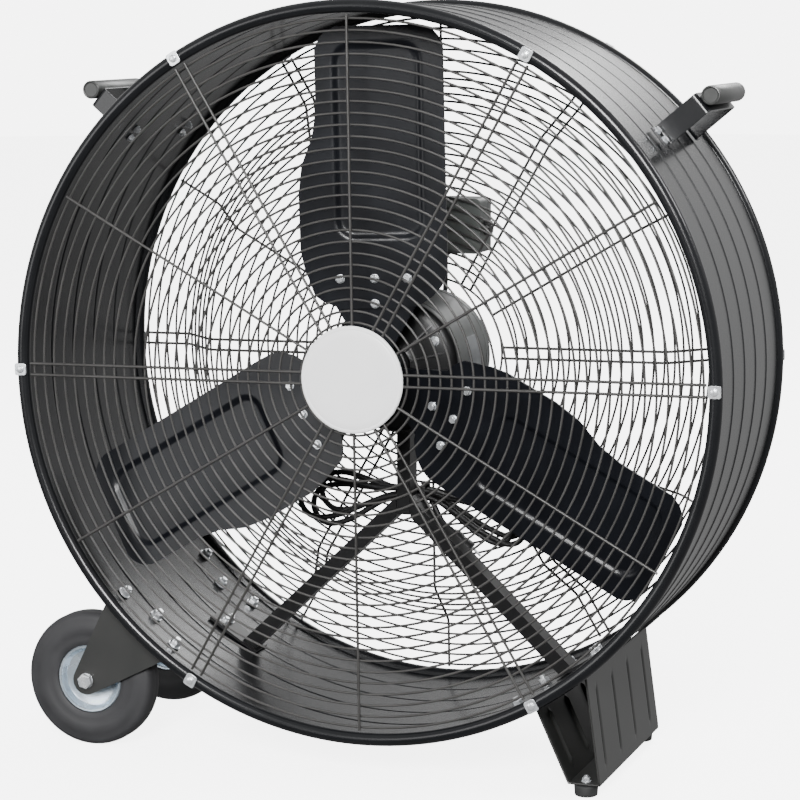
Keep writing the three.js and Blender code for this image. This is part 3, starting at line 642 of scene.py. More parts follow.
@dataclass
class Drum:
    """The rolled sheet drum with its pressed ribs and a rolled bead at each end."""

    radius: float = 476.0
    wall: float = 1.6
    bead_y: float = 178.0
    bead_radius: float = 8.6
    bead_inset: float = 2.5
    rib_height: float = 1.2
    rib_half_width: float = 3.0
    rib_shoulder: float = 1.5
    rib_pitch: float = 64.0
    rib_count: int = 4
    bead_steps: int = 24
    steps: int = 192

    def skin(self, radius: float) -> list[tuple[float, float]]:
        """One face of the wall from front to rear: flat bands with a rounded rib between them."""
        profile = []
        for k in range(self.rib_count):
            middle = (k - (self.rib_count - 1) / 2) * self.rib_pitch
            profile.append((radius, middle - self.rib_half_width - self.rib_shoulder))
            for s in range(-4, 5):
                lift = self.rib_height * (0.5 + 0.5 * math.cos(math.pi * s / 4))
                profile.append((radius + lift, middle + self.rib_half_width * s / 4))
            profile.append((radius, middle + self.rib_half_width + self.rib_shoulder))
        return profile

    def bead(self, side: int, first: float, last: float) -> list[tuple[float, float]]:
        """The rolled edge at one end, from one angle round to another."""
        points = []
        for k in range(self.bead_steps + 1):
            angle = math.radians(first + (last - first) * k / self.bead_steps)
            radius = self.radius - self.bead_inset + self.bead_radius * math.sin(angle)
            points.append((radius, side * (self.bead_y + self.bead_radius * math.cos(angle))))
        return points

    def build(self) -> None:
        """Makes the drum and its lapped and welded seam."""
        shell = Shape()
        inner = self.radius - self.wall
        edge = self.bead_y - self.bead_radius - 1.0
        outside = [(self.radius, -edge), *self.skin(self.radius), (self.radius, edge)]
        inside = [(inner, edge), *self.skin(inner)[::-1], (inner, -edge)]
        profile = [*self.bead(-1, 200, -150), *outside, *self.bead(1, -150, 200), *inside]
        shell.lathe(profile, self.steps)
        shell.build("drum_skin", POWDER_COAT, replaces=["drum_shell"])
        lap = Shape()
        half = self.bead_y - self.bead_radius - 4
        corners = arc(self.radius + 1.1, 252, 256, 4) + arc(self.radius - 0.4, 256, 252, 4)
        for k in range(self.rib_count + 1):
            start = (k - self.rib_count / 2 - 0.5) * self.rib_pitch + self.rib_half_width + 1
            end = start + self.rib_pitch - 2 * self.rib_half_width - 2
            lap.plate(corners, max(start, -half), min(end, half))
        lap.build("drum_seam", POWDER_COAT, bevel=0.4)


@dataclass
class Guards:
    """The flat front guard, the recessed rear guard, their clips and the badge."""

    wire: float = 1.6
    spoke: float = 1.9
    pitch: float = 14.8
    outer_radius: float = 458.0
    inner_radius: float = 43.6
    ring_y: float = 178.0
    spoke_gap: float = 3.0
    pair_spacing: float = 15.0
    phase: float = 0.8
    clips: int = 6
    recess_y: float = 120.0
    recess_outer: float = 394.0
    recess_inner: float = 335.0
    hole_radius: float = 103.7
    badge_radius: float = 69.5
    ring_steps: int = 144

    def ring(self, shape: Shape, radius: float, y: float) -> None:
        """Adds one welded ring of wire."""
        path = [polar(radius, 360 * k / self.ring_steps, y) for k in range(self.ring_steps)]
        shape.tube(path, self.wire, 8, closed=True)

    def spokes(self, shape: Shape, path: Sequence[tuple[float, float]]) -> None:
        """Adds every spoke: a pair towards each clip and a single one midway.

        Args:
            shape: The guard's shape.
            path: Radius and y along one spoke.
        """
        for k in range(2 * self.clips):
            turn = about_axis(self.phase + 180 * k / self.clips)
            for offset in (0.0,) if k % 2 else (-self.pair_spacing / 2, self.pair_spacing / 2):
                line = [turn @ Vector((r, y, offset)) for r, y in smooth_bends(path, 8.0)]
                shape.tube(line, self.spoke, 8)

    def front(self) -> None:
        """The flat front guard."""
        guard = Shape()
        count = round((self.outer_radius - self.inner_radius) / self.pitch) + 1
        for k in range(count):
            self.ring(guard, self.outer_radius - k * self.pitch, -self.ring_y)
        y = -self.ring_y - self.spoke_gap
        self.spokes(guard, [(self.inner_radius - 1, y), (self.outer_radius + 4, y)])
        guard.build("front_guard_wires", WIRE_COAT, shading=Shading.ROUND, replaces=["front_guard"])

    def rear(self) -> None:
        """The rear guard: a flat rim, a slope, and a middle set forward round the motor."""
        guard = Shape()
        rim = self.outer_radius
        while rim > self.recess_outer:
            self.ring(guard, rim, self.ring_y)
            rim -= self.pitch
        depth, run = self.ring_y - self.recess_y, self.recess_outer - self.recess_inner
        rungs = round(math.hypot(depth, run) / self.pitch)
        for k in range(1, rungs):
            share = k / rungs
            self.ring(guard, self.recess_outer - run * share, self.ring_y - depth * share)
        middle = self.recess_inner - 2
        while middle > self.hole_radius + self.pitch / 2:
            self.ring(guard, middle, self.recess_y)
            middle -= self.pitch
        self.ring(guard, self.hole_radius, self.recess_y)
        gap = self.spoke_gap
        path = [
            (self.hole_radius - 1, self.recess_y + gap),
            (self.recess_inner, self.recess_y + gap),
            (self.recess_outer, self.ring_y + gap),
            (self.outer_radius + 4, self.ring_y + gap),
        ]
        self.spokes(guard, path)
        stands_for = ["rear_guard", "rear_guard_middle"]
        guard.build("rear_guard_wires", WIRE_COAT, shading=Shading.ROUND, replaces=stands_for)

    def clip(self) -> Shape:
        """A stamped clip at angle 0 at the front, with its screw."""
        plate = Shape()
        low, high, half = 465.2, 481.8, 8.0
        outline = rounded([(high, half, 2.5), (low, half, 4), (low, -half, 4), (high, -half, 2.5)], 5)
        plate.plate(outline, -189.6, -187.4)
        plate.merge(CLIP_SCREW.shape(), standing(Vector((473.5, -188.95, 0)), FRONTWARD, 0.4))
        return plate

    def hold(self) -> None:
        """Clips round both ends of the drum."""
        turned_back = Matrix.Scale(-1, 4, Vector((0, 1, 0)))
        for k in range(self.clips):
            turn = about_axis(self.phase + 360 * k / self.clips)
            for end, mirror in (("front", Matrix.Identity(4)), ("rear", turned_back)):
                name = f"{end}_{k + 1}"
                piece = self.clip().moved(turn @ mirror)
                piece.build(f"clip_{name}", ZINC, bevel=0.5, replaces=[f"guard_clip_{name}"])

    def badge(self) -> None:
        """A plain moulded disc with a rounded rim and a fine inset line."""
        disc = Shape()
        face, back, r = -187.7, -183.4, self.badge_radius
        profile = [(0.0, back)]
        profile += [(r - 1.5, back), (r, back - 1.2), (r, face + 2.6)]
        profile += [(r - 0.5, face + 1.5), (r - 1.6, face + 0.8), (r - 4, face + 0.55)]
        profile += [(r - 5, face + 0.9), (r - 6, face + 0.45)]
        profile += [(r * share, face + 0.4 * share**2) for share in (0.8, 0.55, 0.3, 0.1)] + [(0.0, face)]
        disc.lathe(profile, 96, closed=False)
        disc.build("badge_disc", BADGE, shading=Shading.FORMED, replaces=["front_badge"])


def smooth_bends(path: Sequence[tuple[float, float]], radius: float) -> list[tuple[float, float]]:
    """Rounds the inner corners of an open path.

    Args:
        path: The path's corners.
        radius: How far before and after a corner its curve starts and ends.

    Returns:
        The points of the rounded path.
    """
    points = [tuple(path[0])]
    for before, corner, after in zip(path, path[1:], path[2:]):
        spot = Vector(corner)
        start = spot + (Vector(before) - spot).normalized() * radius
        end = spot + (Vector(after) - spot).normalized() * radius
        for s in range(6):
            t = s / 5
            points.append(tuple(start * (1 - t) ** 2 + spot * 2 * t * (1 - t) + end * t * t))
    points.append(tuple(path[-1]))
    return points


# ---- Handles, wheels and stand --------------------------------------------------------------


@dataclass
class Handles:
    """Two carrying handles: a bent strip, a round grip on its web, and its bolts."""

    angle: float = 40.0
    seat: float = 479.9
    web: float = 547.8
    front: float = -48.5
    back: float = 93.5
    foot: float = 19.8
    strip: float = 3.0
    half_width: float = 14.8
    grip_radius: float = 12.4

    def build(self) -> None:
        """Makes both handles."""
        for side, turn in (("right", self.angle), ("left", 180 - self.angle)):
            place = about_axis(turn)
            self.bracket(side, place)
            self.grip(side, place)

    def bracket(self, side: str, place: Matrix) -> None:
        """The bent strip with rounded bends, and a bolt through each foot into the drum."""
        seat, web = self.seat + self.strip / 2, self.web
        path = [
            (seat, self.front - self.foot),
            (seat, self.front),
            (web, self.front),
            (web, self.back),
            (seat, self.back),
            (seat, self.back + self.foot),
        ]
        outline = bent_strip(smooth_bends(path, 5.0), self.strip)
        strip = Shape()
        edge = [Vector((r, y, -self.half_width)) for r, y in outline]
        strip.prism(edge, Vector((0, 0, 2 * self.half_width)))
        strip.moved(place).build(
            f"handle_strip_{side}", POWDER_COAT, bevel=0.7, replaces=[f"handle_bracket_{side}"]
        )
        bolts = Shape()
        for y in (self.front - self.foot * 0.62, self.back + self.foot * 0.62):
            for offset in (-7.5, 7.5):
                head = standing(Vector((seat + self.strip / 2, y, offset)), Vector((1, 0, 0)), offset)
                bolts.merge(HANDLE_HEAD.shape(), head)
                nut = standing(Vector((473.4, y, offset)), Vector((-1, 0, 0)), 0.3 * offset)
                bolts.merge(HANDLE_NUT.shape(), nut)
        bolts.moved(place).build(f"handle_bolts_{side}", ZINC, bevel=0.25)

    def grip(self, side: str, place: Matrix) -> None:
        """The sleeve on the web, closed by a domed cap at each end."""
        centre = Vector((self.web + self.strip / 2 + 0.4 + self.grip_radius, 0, 0))
        y0, y1, r = self.front - 1.3, self.back + 1.3, self.grip_radius
        sleeve = Shape()
        profile = [(0.0, y0 + 1.2), (r - 3.4, y0 + 1.2), (r - 2.6, y0 + 0.4), (r - 1.8, y0)]
        profile += [(r - 0.6, y0 + 0.3), (r, y0 + 1.4)]
        mirrored = [(radius, y0 + y1 - y) for radius, y in profile][::-1]
        sleeve.lathe([*profile, *mirrored], 48, closed=False, centre=centre)
        sleeve.moved(place).build(
            f"handle_sleeve_{side}", GRIP_VINYL, shading=Shading.FORMED, replaces=[f"handle_grip_{side}"]
        )


@dataclass
class Wheel:
    """One wheel in its fork: tyre, dished rim, axle bolt and nut. Drawn about its own axle."""

    end: str
    side: int
    radius: float = 93.0
    half_width: float = 19.0
    rim: float = 46.9
    hub: float = 16.0

    def axle(self) -> Matrix:
        """The place of the wheel's centre, and the mirror that puts its open face outwards."""
        spot = (WHEEL_AXLE[self.end] - AXIS) / MM
        return Matrix.Translation(spot) @ Matrix.Scale(self.side, 4, Vector((0, 1, 0)))

    def body(self) -> Body:
        """The body that this wheel's pieces turn with."""
        return Body.WHEEL_FRONT if self.end == "front" else Body.WHEEL_REAR

    def tyre(self) -> None:
        """Solid tyre: rounded shoulders, a moulded step on each wall and a line round the tread."""
        half, r = self.half_width, self.radius
        wall = [
            (self.rim + 0.5, half - 3.2),
            (self.rim + 2.5, half - 1.6),
            (r * 0.6, half - 0.9),
            (r * 0.68, half - 0.5),
            (r * 0.69, half - 0.1),
            (r * 0.82, half - 0.1),
            (r * 0.83, half - 0.6),
        ]
        shoulder = [
            (r - 11 * (1 - math.sin(a)), half - 1 - 11 * (1 - math.cos(a)))
            for a in (math.radians(d) for d in range(12, 91, 13))
        ]
        tread = [(r, 2.0), (r - 0.15, 0.8), (r - 0.15, 0.0)]
        outline = wall + shoulder + tread
        profile = outline + [(radius, -y) for radius, y in outline[::-1][1:]]
        tyre = Shape()
        tyre.lathe(profile, 128)
        tyre.moved(self.axle()).build(
            f"tyre_skin_{self.end}", TYRE, self.body(), Shading.FORMED, replaces=[f"tyre_{self.end}"]
        )

    def disc(self) -> None:
        """Deep-drawn rim: a rolled lip, a well, a dished web and a hub tube."""
        lip = 15.0
        profile = [(10.0, 19.8), (self.hub - 1, 19.8), (self.hub, 19.0), (self.hub, 6.5)]
        profile += [(self.hub + 3.5, 3.6), (self.rim - 14, 3.6), (self.rim - 8, 6.0), (self.rim - 5.4, 10.5)]
        profile += [(self.rim - 4.6, lip - 1), (self.rim - 3.2, lip + 0.6), (self.rim - 1.2, lip + 0.8)]
        profile += [(self.rim, lip - 0.6), (self.rim, -lip + 0.6), (self.rim - 1.2, -lip - 0.8)]
        profile += [(self.rim - 3.2, -lip - 0.6), (self.rim - 4.6, -lip + 1), (self.rim - 5.4, 2.0)]
        profile += [(self.rim - 8, -0.4), (self.rim - 14, -1.0), (self.hub + 3.5, -1.0), (self.hub, -4.5)]
        profile += [(self.hub, -19.0), (self.hub - 1, -19.8), (10.0, -19.8)]
        rim = Shape()
        rim.lathe([(r, -y) for r, y in profile], 96)
        rim.moved(self.axle() @ Matrix.Scale(-1, 4, Vector((0, 1, 0)))).build(
            f"rim_disc_{self.end}", RIM_ZINC, self.body(), Shading.FORMED, replaces=[f"wheel_rim_{self.end}"]
        )

    def bolt(self) -> None:
        """Axle bolt with a washer under its head, and its nut."""
        outer, thread = Vector((0, 25.4, 0)), Vector((0, -25.4, 0))
        bolt = Shape()
        bolt.merge(AXLE_HEAD.shape(), standing(outer, BACKWARD, 0.25))
        bolt.tube([Vector((0, -35.0, 0)), Vector((0, 26.5, 0))], 5.9, 24)
        bolt.moved(self.axle()).build(
            f"axle_{self.end}", ZINC, bevel=0.5, replaces=[f"axle_bolt_{self.end}", f"axle_nut_{self.end}"]
        )
        nut = Shape()
        nut.merge(AXLE_NUT.shape(), standing(thread, FRONTWARD, 0.1))
        nut.moved(self.axle()).build(f"axle_locknut_{self.end}", ZINC, bevel=0.5)

    def build(self) -> None:
        """Makes the wheel and its axle."""
        self.tyre()
        self.disc()
        self.bolt()


@dataclass
class DrumBolts:
    """Bolts that hold the wheel forks, the struts and the stand to the drum."""

    inside: float = 473.2
    outside: float = 482.9

    def through(self, spots: Iterable[tuple[float, float]], outer: float) -> Shape:
        """Bolts with a head outside the drum and a nut inside.

        Args:
            spots: Angle and y of each bolt.
            outer: Radius that its head stands on.

        Returns:
            All heads and nuts as one shape.
        """
        bolts = Shape()
        for angle, y in spots:
            out = polar(1, angle)
            bolts.merge(DRUM_HEAD.shape(), standing(out * outer + Vector((0, y, 0)), out, angle))
            nut = standing(out * self.inside + Vector((0, y, 0)), -out, angle)
            bolts.merge(DRUM_NUT.shape(), nut)
        return bolts

    def build(self) -> None:
        """Makes each group of bolts."""
        for end, side in (("front", -1), ("rear", 1)):
            spots = [(-138.2, side * 134.0), (-132.2, side * 108.0), (-126.2, side * 134.0)]
            inner = self.through(spots, self.outside)
            inner.build(f"fork_bolts_{end}", ZINC, bevel=0.3)
        stand = [(-64.3, y) for y in (-120.0, 0.0, 120.0)]
        self.through(stand, self.outside - 0.4).build("stand_bolts", ZINC, bevel=0.3)
        struts = Shape()
        for angle in (-125.2, -54.8):
            out = polar(1, angle)
            for y in (12.0, 32.0):
                nut = standing(out * 468.6 + Vector((0, y, 0)), -out, angle)
                struts.merge(STRUT_NUT.shape(), nut)
                struts.merge(DRUM_HEAD.shape(), standing(out * 476.1 + Vector((0, y, 0)), out, angle))
        struts.build("strut_bolts", ZINC, bevel=0.3)


@dataclass
class Stand:
    """The folded stand: pressed grooves in its plates, a screwed foot at each end."""

    sheet: float = 2.4
    half_depth: float = 149.8
    seat: float = 481.05
    floor_z: float = -514.4
    floor_x: tuple[float, float] = (281.1, 322.1)
    grooves: int = 4
    groove_depth: float = 3.2
    groove_half_width: float = 4.4
    groove_span: tuple[float, float] = (0.12, 0.86)
    groove_fade: float = 0.05

    def profile(self) -> list[tuple[float, float]]:
        """Section of the folded sheet: flange, plate, floor, plate, flange."""
        left = arc(self.seat, -65.5, -60.5, 5)
        right = arc(self.seat, -51.0, -48.0, 4)
        return [*left, (self.floor_x[0], self.floor_z), (self.floor_x[1], self.floor_z), *right]

    def build(self) -> None:
        """Makes the sheet as a fine grid that the grooves are pressed into, and the feet."""
        folds = [Vector(p) for p in self.profile()]
        rows = []
        steps_y, plates = 120, (5, 7)
        spots: list[tuple[Vector, Vector, float]] = []
        for k, (a, b) in enumerate(zip(folds, folds[1:])):
            along = b - a
            count = 24 if k in plates else 6
            normal = Vector((-along.y, along.x)).normalized()
            for s in range(count):
                share = s / count
                spots.append((a + along * share, normal, share if k in plates else -1.0))
        spots.append((folds[-1], spots[-1][1], -1.0))
        for j in range(steps_y + 1):
            y = -self.half_depth + 2 * self.half_depth * j / steps_y
            row = []
            for spot, normal, share in spots:
                dent = self.dent(y, share)
                row.append(Vector((spot.x + normal.x * dent, y, spot.y + normal.y * dent)))
            rows.append(row)
        sheet = Shape()
        sheet.lattice(rows, False, False)
        made = sheet.build("stand_sheet", TEXTURED_COAT, replaces=["stand"])
        thick = made.modifiers.new("sheet_thickness", "SOLIDIFY")
        thick.thickness = self.sheet * MM
        thick.offset = 0.0
        self.feet()

    def dent(self, y: float, share: float) -> float:
        """How deep the sheet is pressed in at a place on a plate.

        Args:
            y: Place along the stand.
            share: Place from one end of the plate to the other, or negative off a plate.

        Returns:
            Depth of the groove there, in millimetres.
        """
        first, last = self.groove_span
        if not first < share < last:
            return 0.0
        spacing = 2 * self.half_depth / self.grooves
        nearest = min(abs(y - (k - (self.grooves - 1) / 2) * spacing) for k in range(self.grooves))
        if nearest > self.groove_half_width:
            return 0.0
        ends = min(1.0, (share - first) / self.groove_fade, (last - share) / self.groove_fade)
        round_off = 0.5 + 0.5 * math.cos(math.pi * nearest / self.groove_half_width)
        return self.groove_depth * ends * round_off

    def feet(self) -> None:
        """Rubber feet with a moulded flange, each held by a screw through the floor."""
        for end, y in (("front", -138.0), ("rear", 138.0)):
            foot = Shape()
            x = (self.floor_x[0] + self.floor_x[1]) / 2
            centre = Vector((x, y, -531.0))
            outline = [(0.0, 0.0), (13.2, 0.0), (14.6, 0.8), (15.0, 2.2), (15.2, 6.0), (15.7, 12.6)]
            outline += [(15.4, 14.2), (14.2, 14.8), (0.0, 14.8)]
            foot.spin(outline, 48, centre)
            foot.build(f"foot_pad_{end}", FOOT, replaces=[f"rubber_foot_{end}"])
            screw = Shape()
            screw.merge(FOOT_NUT.shape(), standing(centre + 17.8 * UPWARD, UPWARD, 0.5))
            screw.build(f"foot_screw_{end}", ZINC, bevel=0.3)


# ---- Motor, blades and switch box -----------------------------------------------------------


@dataclass
class Motor:
    """The motor: a grooved shell, two cast bells, tie bolts and a blank rating plate."""

    radius: float = 89.8
    front: float = -21.8
    back: float = 103.8
    fins: int = 12
    tie_bolts: int = 4

    def build(self) -> None:
        """Makes each visible piece of the motor."""
        self.shell()
        # The front bell's black is painted shade: the rear bell of the same casting is grey enamel.
        self.bell("front", self.front, -1, 28.0, 18.4, MOUNT_ENAMEL_AND_BELL_SHADE)
        self.bell("rear", self.back, 1, 27.8, 18.4, ENAMEL)
        self.ties()
        self.plate()

    def shell(self) -> None:
        """Shell rolled from sheet, with a shallow groove near each end."""
        r, inner = self.radius, self.radius - 3.8
        profile = [(r - 0.5, self.front), (r, self.front + 0.6)]
        for y in (self.front + 9, self.back - 9):
            profile += [(r, y - 2), (r - 0.9, y - 1.2), (r - 0.9, y + 1.2), (r, y + 2)]
        profile += [(r, self.back - 0.6), (r - 0.5, self.back), (inner, self.back), (inner, self.front)]
        shell = Shape()
        shell.lathe(profile, 96)
        shell.build("motor_skin", ENAMEL, shading=Shading.FORMED, replaces=["motor_shell"])

    def bell(self, end: str, base: float, side: int, nose: float, depth: float, finish: Finish) -> None:
        """A cast end bell: rim, domed face with radial ribs, and a turned nose.

        Args:
            end: Which end it closes.
            base: y of the shell's end.
            side: -1 at the front, 1 at the rear.
            nose: Radius of the bearing nose.
            depth: How far the bell's face stands from the shell.
            finish: Its paint; at the front it is the mount's black, which is painted shade for the shadow on
                that bell.
        """
        r = self.radius
        face = [(r - 0.4, 0.2), (r, 1.0), (r, 6.0), (r - 1.2, 8.0), (r - 6, 11.4), (r - 14, 14.0)]
        face += [(62.0, depth - 2.2), (nose + 14, depth - 0.6), (nose + 3, depth), (nose, depth + 1.6)]
        face += [(nose, depth + 8.2), (nose - 1.4, depth + 9.6), (20.4, depth + 9.6), (20.4, 2.0)]
        face += [(30.0, 0.2)]
        bell = Shape()
        bell.lathe([(radius, base + side * y) for radius, y in face], 96)
        bell.build(f"bell_cast_{end}", finish, replaces=[f"motor_{end}_bell"])
        ribs = Shape()
        for k in range(self.fins):
            outline = [
                Vector((nose + 1, base + side * (depth - 1), -1.6)),
                Vector((nose + 1, base + side * (depth + 5.0), -1.6)),
                Vector((nose + 8, base + side * (depth + 2.6), -1.6)),
                Vector((r - 20, base + side * (depth - 1.2), -1.6)),
                Vector((r - 9, base + side * 12.4, -1.6)),
                Vector((r - 10, base + side * 9.0, -1.6)),
            ]
            rib = Shape()
            rib.prism(outline, Vector((0, 0, 3.2)))
            ribs.merge(rib, about_axis(360 * (k + 0.5) / self.fins))
        if side > 0:
            boss = Vector((8, base + 15.8, 62))
            rows = [
                [boss + Vector((q * math.cos(a), y, q * math.sin(a))) for q, y in
                 ((0.0, 0.0), (7.9, 0.0), (7.9, 11.8), (7.2, 13.8), (4.6, 13.8), (4.4, 6.0), (0.0, 6.0))]
                for a in steps_round(24)
            ]
            ribs.lattice(rows, True, False)
        ribs.build(f"bell_ribs_{end}", finish, bevel=0.6)

    def ties(self) -> None:
        """Heads of the tie bolts at the front and their nuts at the rear."""
        bolts = Shape()
        for k in range(self.tie_bolts):
            out = polar(70.0, 30 + 360 * k / self.tie_bolts)
            for y, side in ((self.front - 14.4, -1), (self.back + 14.4, 1)):
                spot = standing(out + Vector((0, y, 0)), Vector((0, side, 0)), k)
                bolts.merge((TIE_NUT if side > 0 else TIE_HEAD).shape(), spot)
        bolts.build("motor_tie_bolts", ZINC, bevel=0.3)

    def plate(self) -> None:
        """A blank rating plate of thin sheet, curved round the shell's right side and riveted."""
        plate = Shape()
        r = self.radius
        plate.plate(arc(r + 0.9, -14, 22, 12) + arc(r - 0.2, 22, -14, 12), 22, 68)
        for angle in (-12, 20):
            for y in (25.0, 65.0):
                out = polar(1, angle)
                place = standing(out * (r + 0.8) + Vector((0, y, 0)), out)
                rivet = Shape()
                rivet.spin([(1.6, 0.0), (1.5, 0.6), (0.9, 1.0), (0.0, 1.1)], 12)
                plate.merge(rivet, place)
        plate.build("motor_plate", STEEL, bevel=0.2)


@dataclass
class Rotor:
    """Three embossed steel blades bolted to a spider on a keyed hub."""

    blades: int = 3
    phase: float = 91.3
    plane: float = -92.5
    pitch: float = 10.8
    sheet: float = 2.4
    tip: float = 448.6

    def build(self) -> None:
        """Makes the hub, its blades and their bolts."""
        for k in range(self.blades):
            turn = about_axis(self.phase - 90 + 120 * k)
            self.blade(turn, k + 1)
        self.hub()

    def edges(self, r: float) -> tuple[float, float]:
        """The blade's two edges at a radius: the lobed one and the straight one.

        Args:
            r: Distance from the fan's axis along the blade.

        Returns:
            The lowest and the highest u there.
        """
        lobed = [(82, -45), (92, -70), (100, -80), (137, -93), (160, -97.5), (232, -98), (270, -93)]
        lobed += [(307, -78), (340, -72.5), (400, -72), (420, -72), (436, -64), (443, -55), (448.6, -44)]
        straight = [(82, 36), (85, 57), (97, 76), (110, 88), (125, 95), (150, 96.5), (420, 96.5)]
        straight += [(432, 92), (441, 84), (446.5, 74), (448.6, 60)]
        return interpolate(lobed, r), interpolate(straight, r)

    def blade(self, turn: Matrix, number: int) -> None:
        """One blade as a fine grid with an embossed panel, and its bolts."""
        steps_r, steps_u = 130, 72
        spots: list[list[Vector]] = []
        for j in range(steps_r + 1):
            r = 82 + (self.tip - 82) * j / steps_r
            low, high = self.edges(r)
            row = []
            for i in range(steps_u + 1):
                u = low + (high - low) * i / steps_u
                row.append(Vector((u, self.emboss(u, r), r)))
            spots.append(row)
        grid = Shape()
        lean = Matrix.Rotation(math.radians(self.pitch), 4, "Z")
        place = turn @ Matrix.Translation((0, self.plane, 0)) @ lean
        half = self.sheet / 2
        front = [[p + Vector((0, -half, 0)) for p in row] for row in spots]
        back = [[p + Vector((0, half, 0)) for p in row[::-1]] for row in spots]
        rows = [a + b for a, b in zip(front, back)]
        grid.lattice(rows, False, True)
        width = len(rows[0])
        for end in (0, len(rows) - 1):
            base = end * width
            for i in range(steps_u):
                grid.faces.append((base + i, base + i + 1, base + width - 2 - i, base + width - 1 - i))
        grid.moved(place).build(
            f"blade_skin_{number}", BLADE_COAT, Body.ROTOR, Shading.FORMED, replaces=[f"blade_{number}"]
        )
        bolts = Shape()
        for u, r in ((-45.5, 121.5), (0.0, 121.5), (43.0, 121.5), (0.0, 88.4)):
            front_spot = Vector((u, -half - 0.1, r))
            bolts.merge(BLADE_HEAD.shape(), standing(front_spot, FRONTWARD, 0.3))
            back_spot = Vector((u, half + 5.1, r))
            bolts.merge(BLADE_NUT.shape(), standing(back_spot, BACKWARD, 0.5))
        bolts.moved(place).build(f"blade_bolts_{number}", ZINC, Body.ROTOR, bevel=0.4)

    def emboss(self, u: float, r: float) -> float:
        """Height of the panel that is pressed back into the blade."""
        corner = 26.0
        across = max(abs(u - 9.0) - 59.0 + corner, 0.0)
        along = max(abs(r - 300.0) - 128.0 + corner, 0.0)
        inward = corner - math.hypot(across, along)
        if inward < corner and not (across or along):
            inward = corner
        share = max(0.0, min(1.0, inward / 8.0))
        crown = -0.9 * math.sin(math.pi * max(0.0, min(1.0, (u + 95) / 190)))
        return 4.2 * share * share * (3 - 2 * share) + crown

    def hub(self) -> None:
        """A cast boss with a stepped face, the spider's arms and a nut on the shaft's end."""
        mid, half = -88.5, 13.6
        profile = [(9.6, mid - half + 1), (10.6, mid - half), (21, mid - half), (22.4, mid - half + 1.4)]
        profile += [(23, mid - 5), (29.5, mid - 3.6), (31.6, mid - 1.6), (31.6, mid + half - 1.6)]
        profile += [(30, mid + half), (10.6, mid + half), (9.6, mid + half - 1)]
        boss = Shape()
        boss.lathe(profile, 64)
        boss.build("hub_boss", BLADE_COAT, Body.ROTOR, replaces=["fan_hub"])
        spider = Shape()
        for k in range(self.blades):
            arm = Shape()
            outline = rounded(
                [(-16, 20, 0), (-57, 92, 10), (-57, 133, 9), (57, 133, 9), (57, 92, 10), (16, 20, 0)], 5
            )
            arm.plate(outline, self.sheet / 2 + 0.3, self.sheet / 2 + 5.0)
            place = about_axis(self.phase - 90 + 120 * k) @ Matrix.Translation((0, self.plane, 0))
            lean = Matrix.Rotation(math.radians(self.pitch), 4, "Z")
            spider.merge(arm, place @ lean)
        spider.build("hub_spider", BLADE_COAT, Body.ROTOR, bevel=0.8)
        nut = Shape()
        end = Vector((0, mid - half - 0.1, 0))
        nut.merge(SHAFT_NUT.shape(), standing(end, FRONTWARD, 0.2))
        nut.build("hub_nut", ZINC, Body.ROTOR, bevel=0.5)


def interpolate(table: Sequence[tuple[float, float]], at: float) -> float:
    """Reads a value between the entries of a short table.

    Args:
        table: Pairs of place and value, in order of place.
        at: The place to read.

    Returns:
        The value there, with a straight line between entries.
    """
    for (x0, y0), (x1, y1) in zip(table, table[1:]):
        if at <= x1:
            return y0 + (y1 - y0) * (at - x0) / (x1 - x0)
    return table[-1][1]


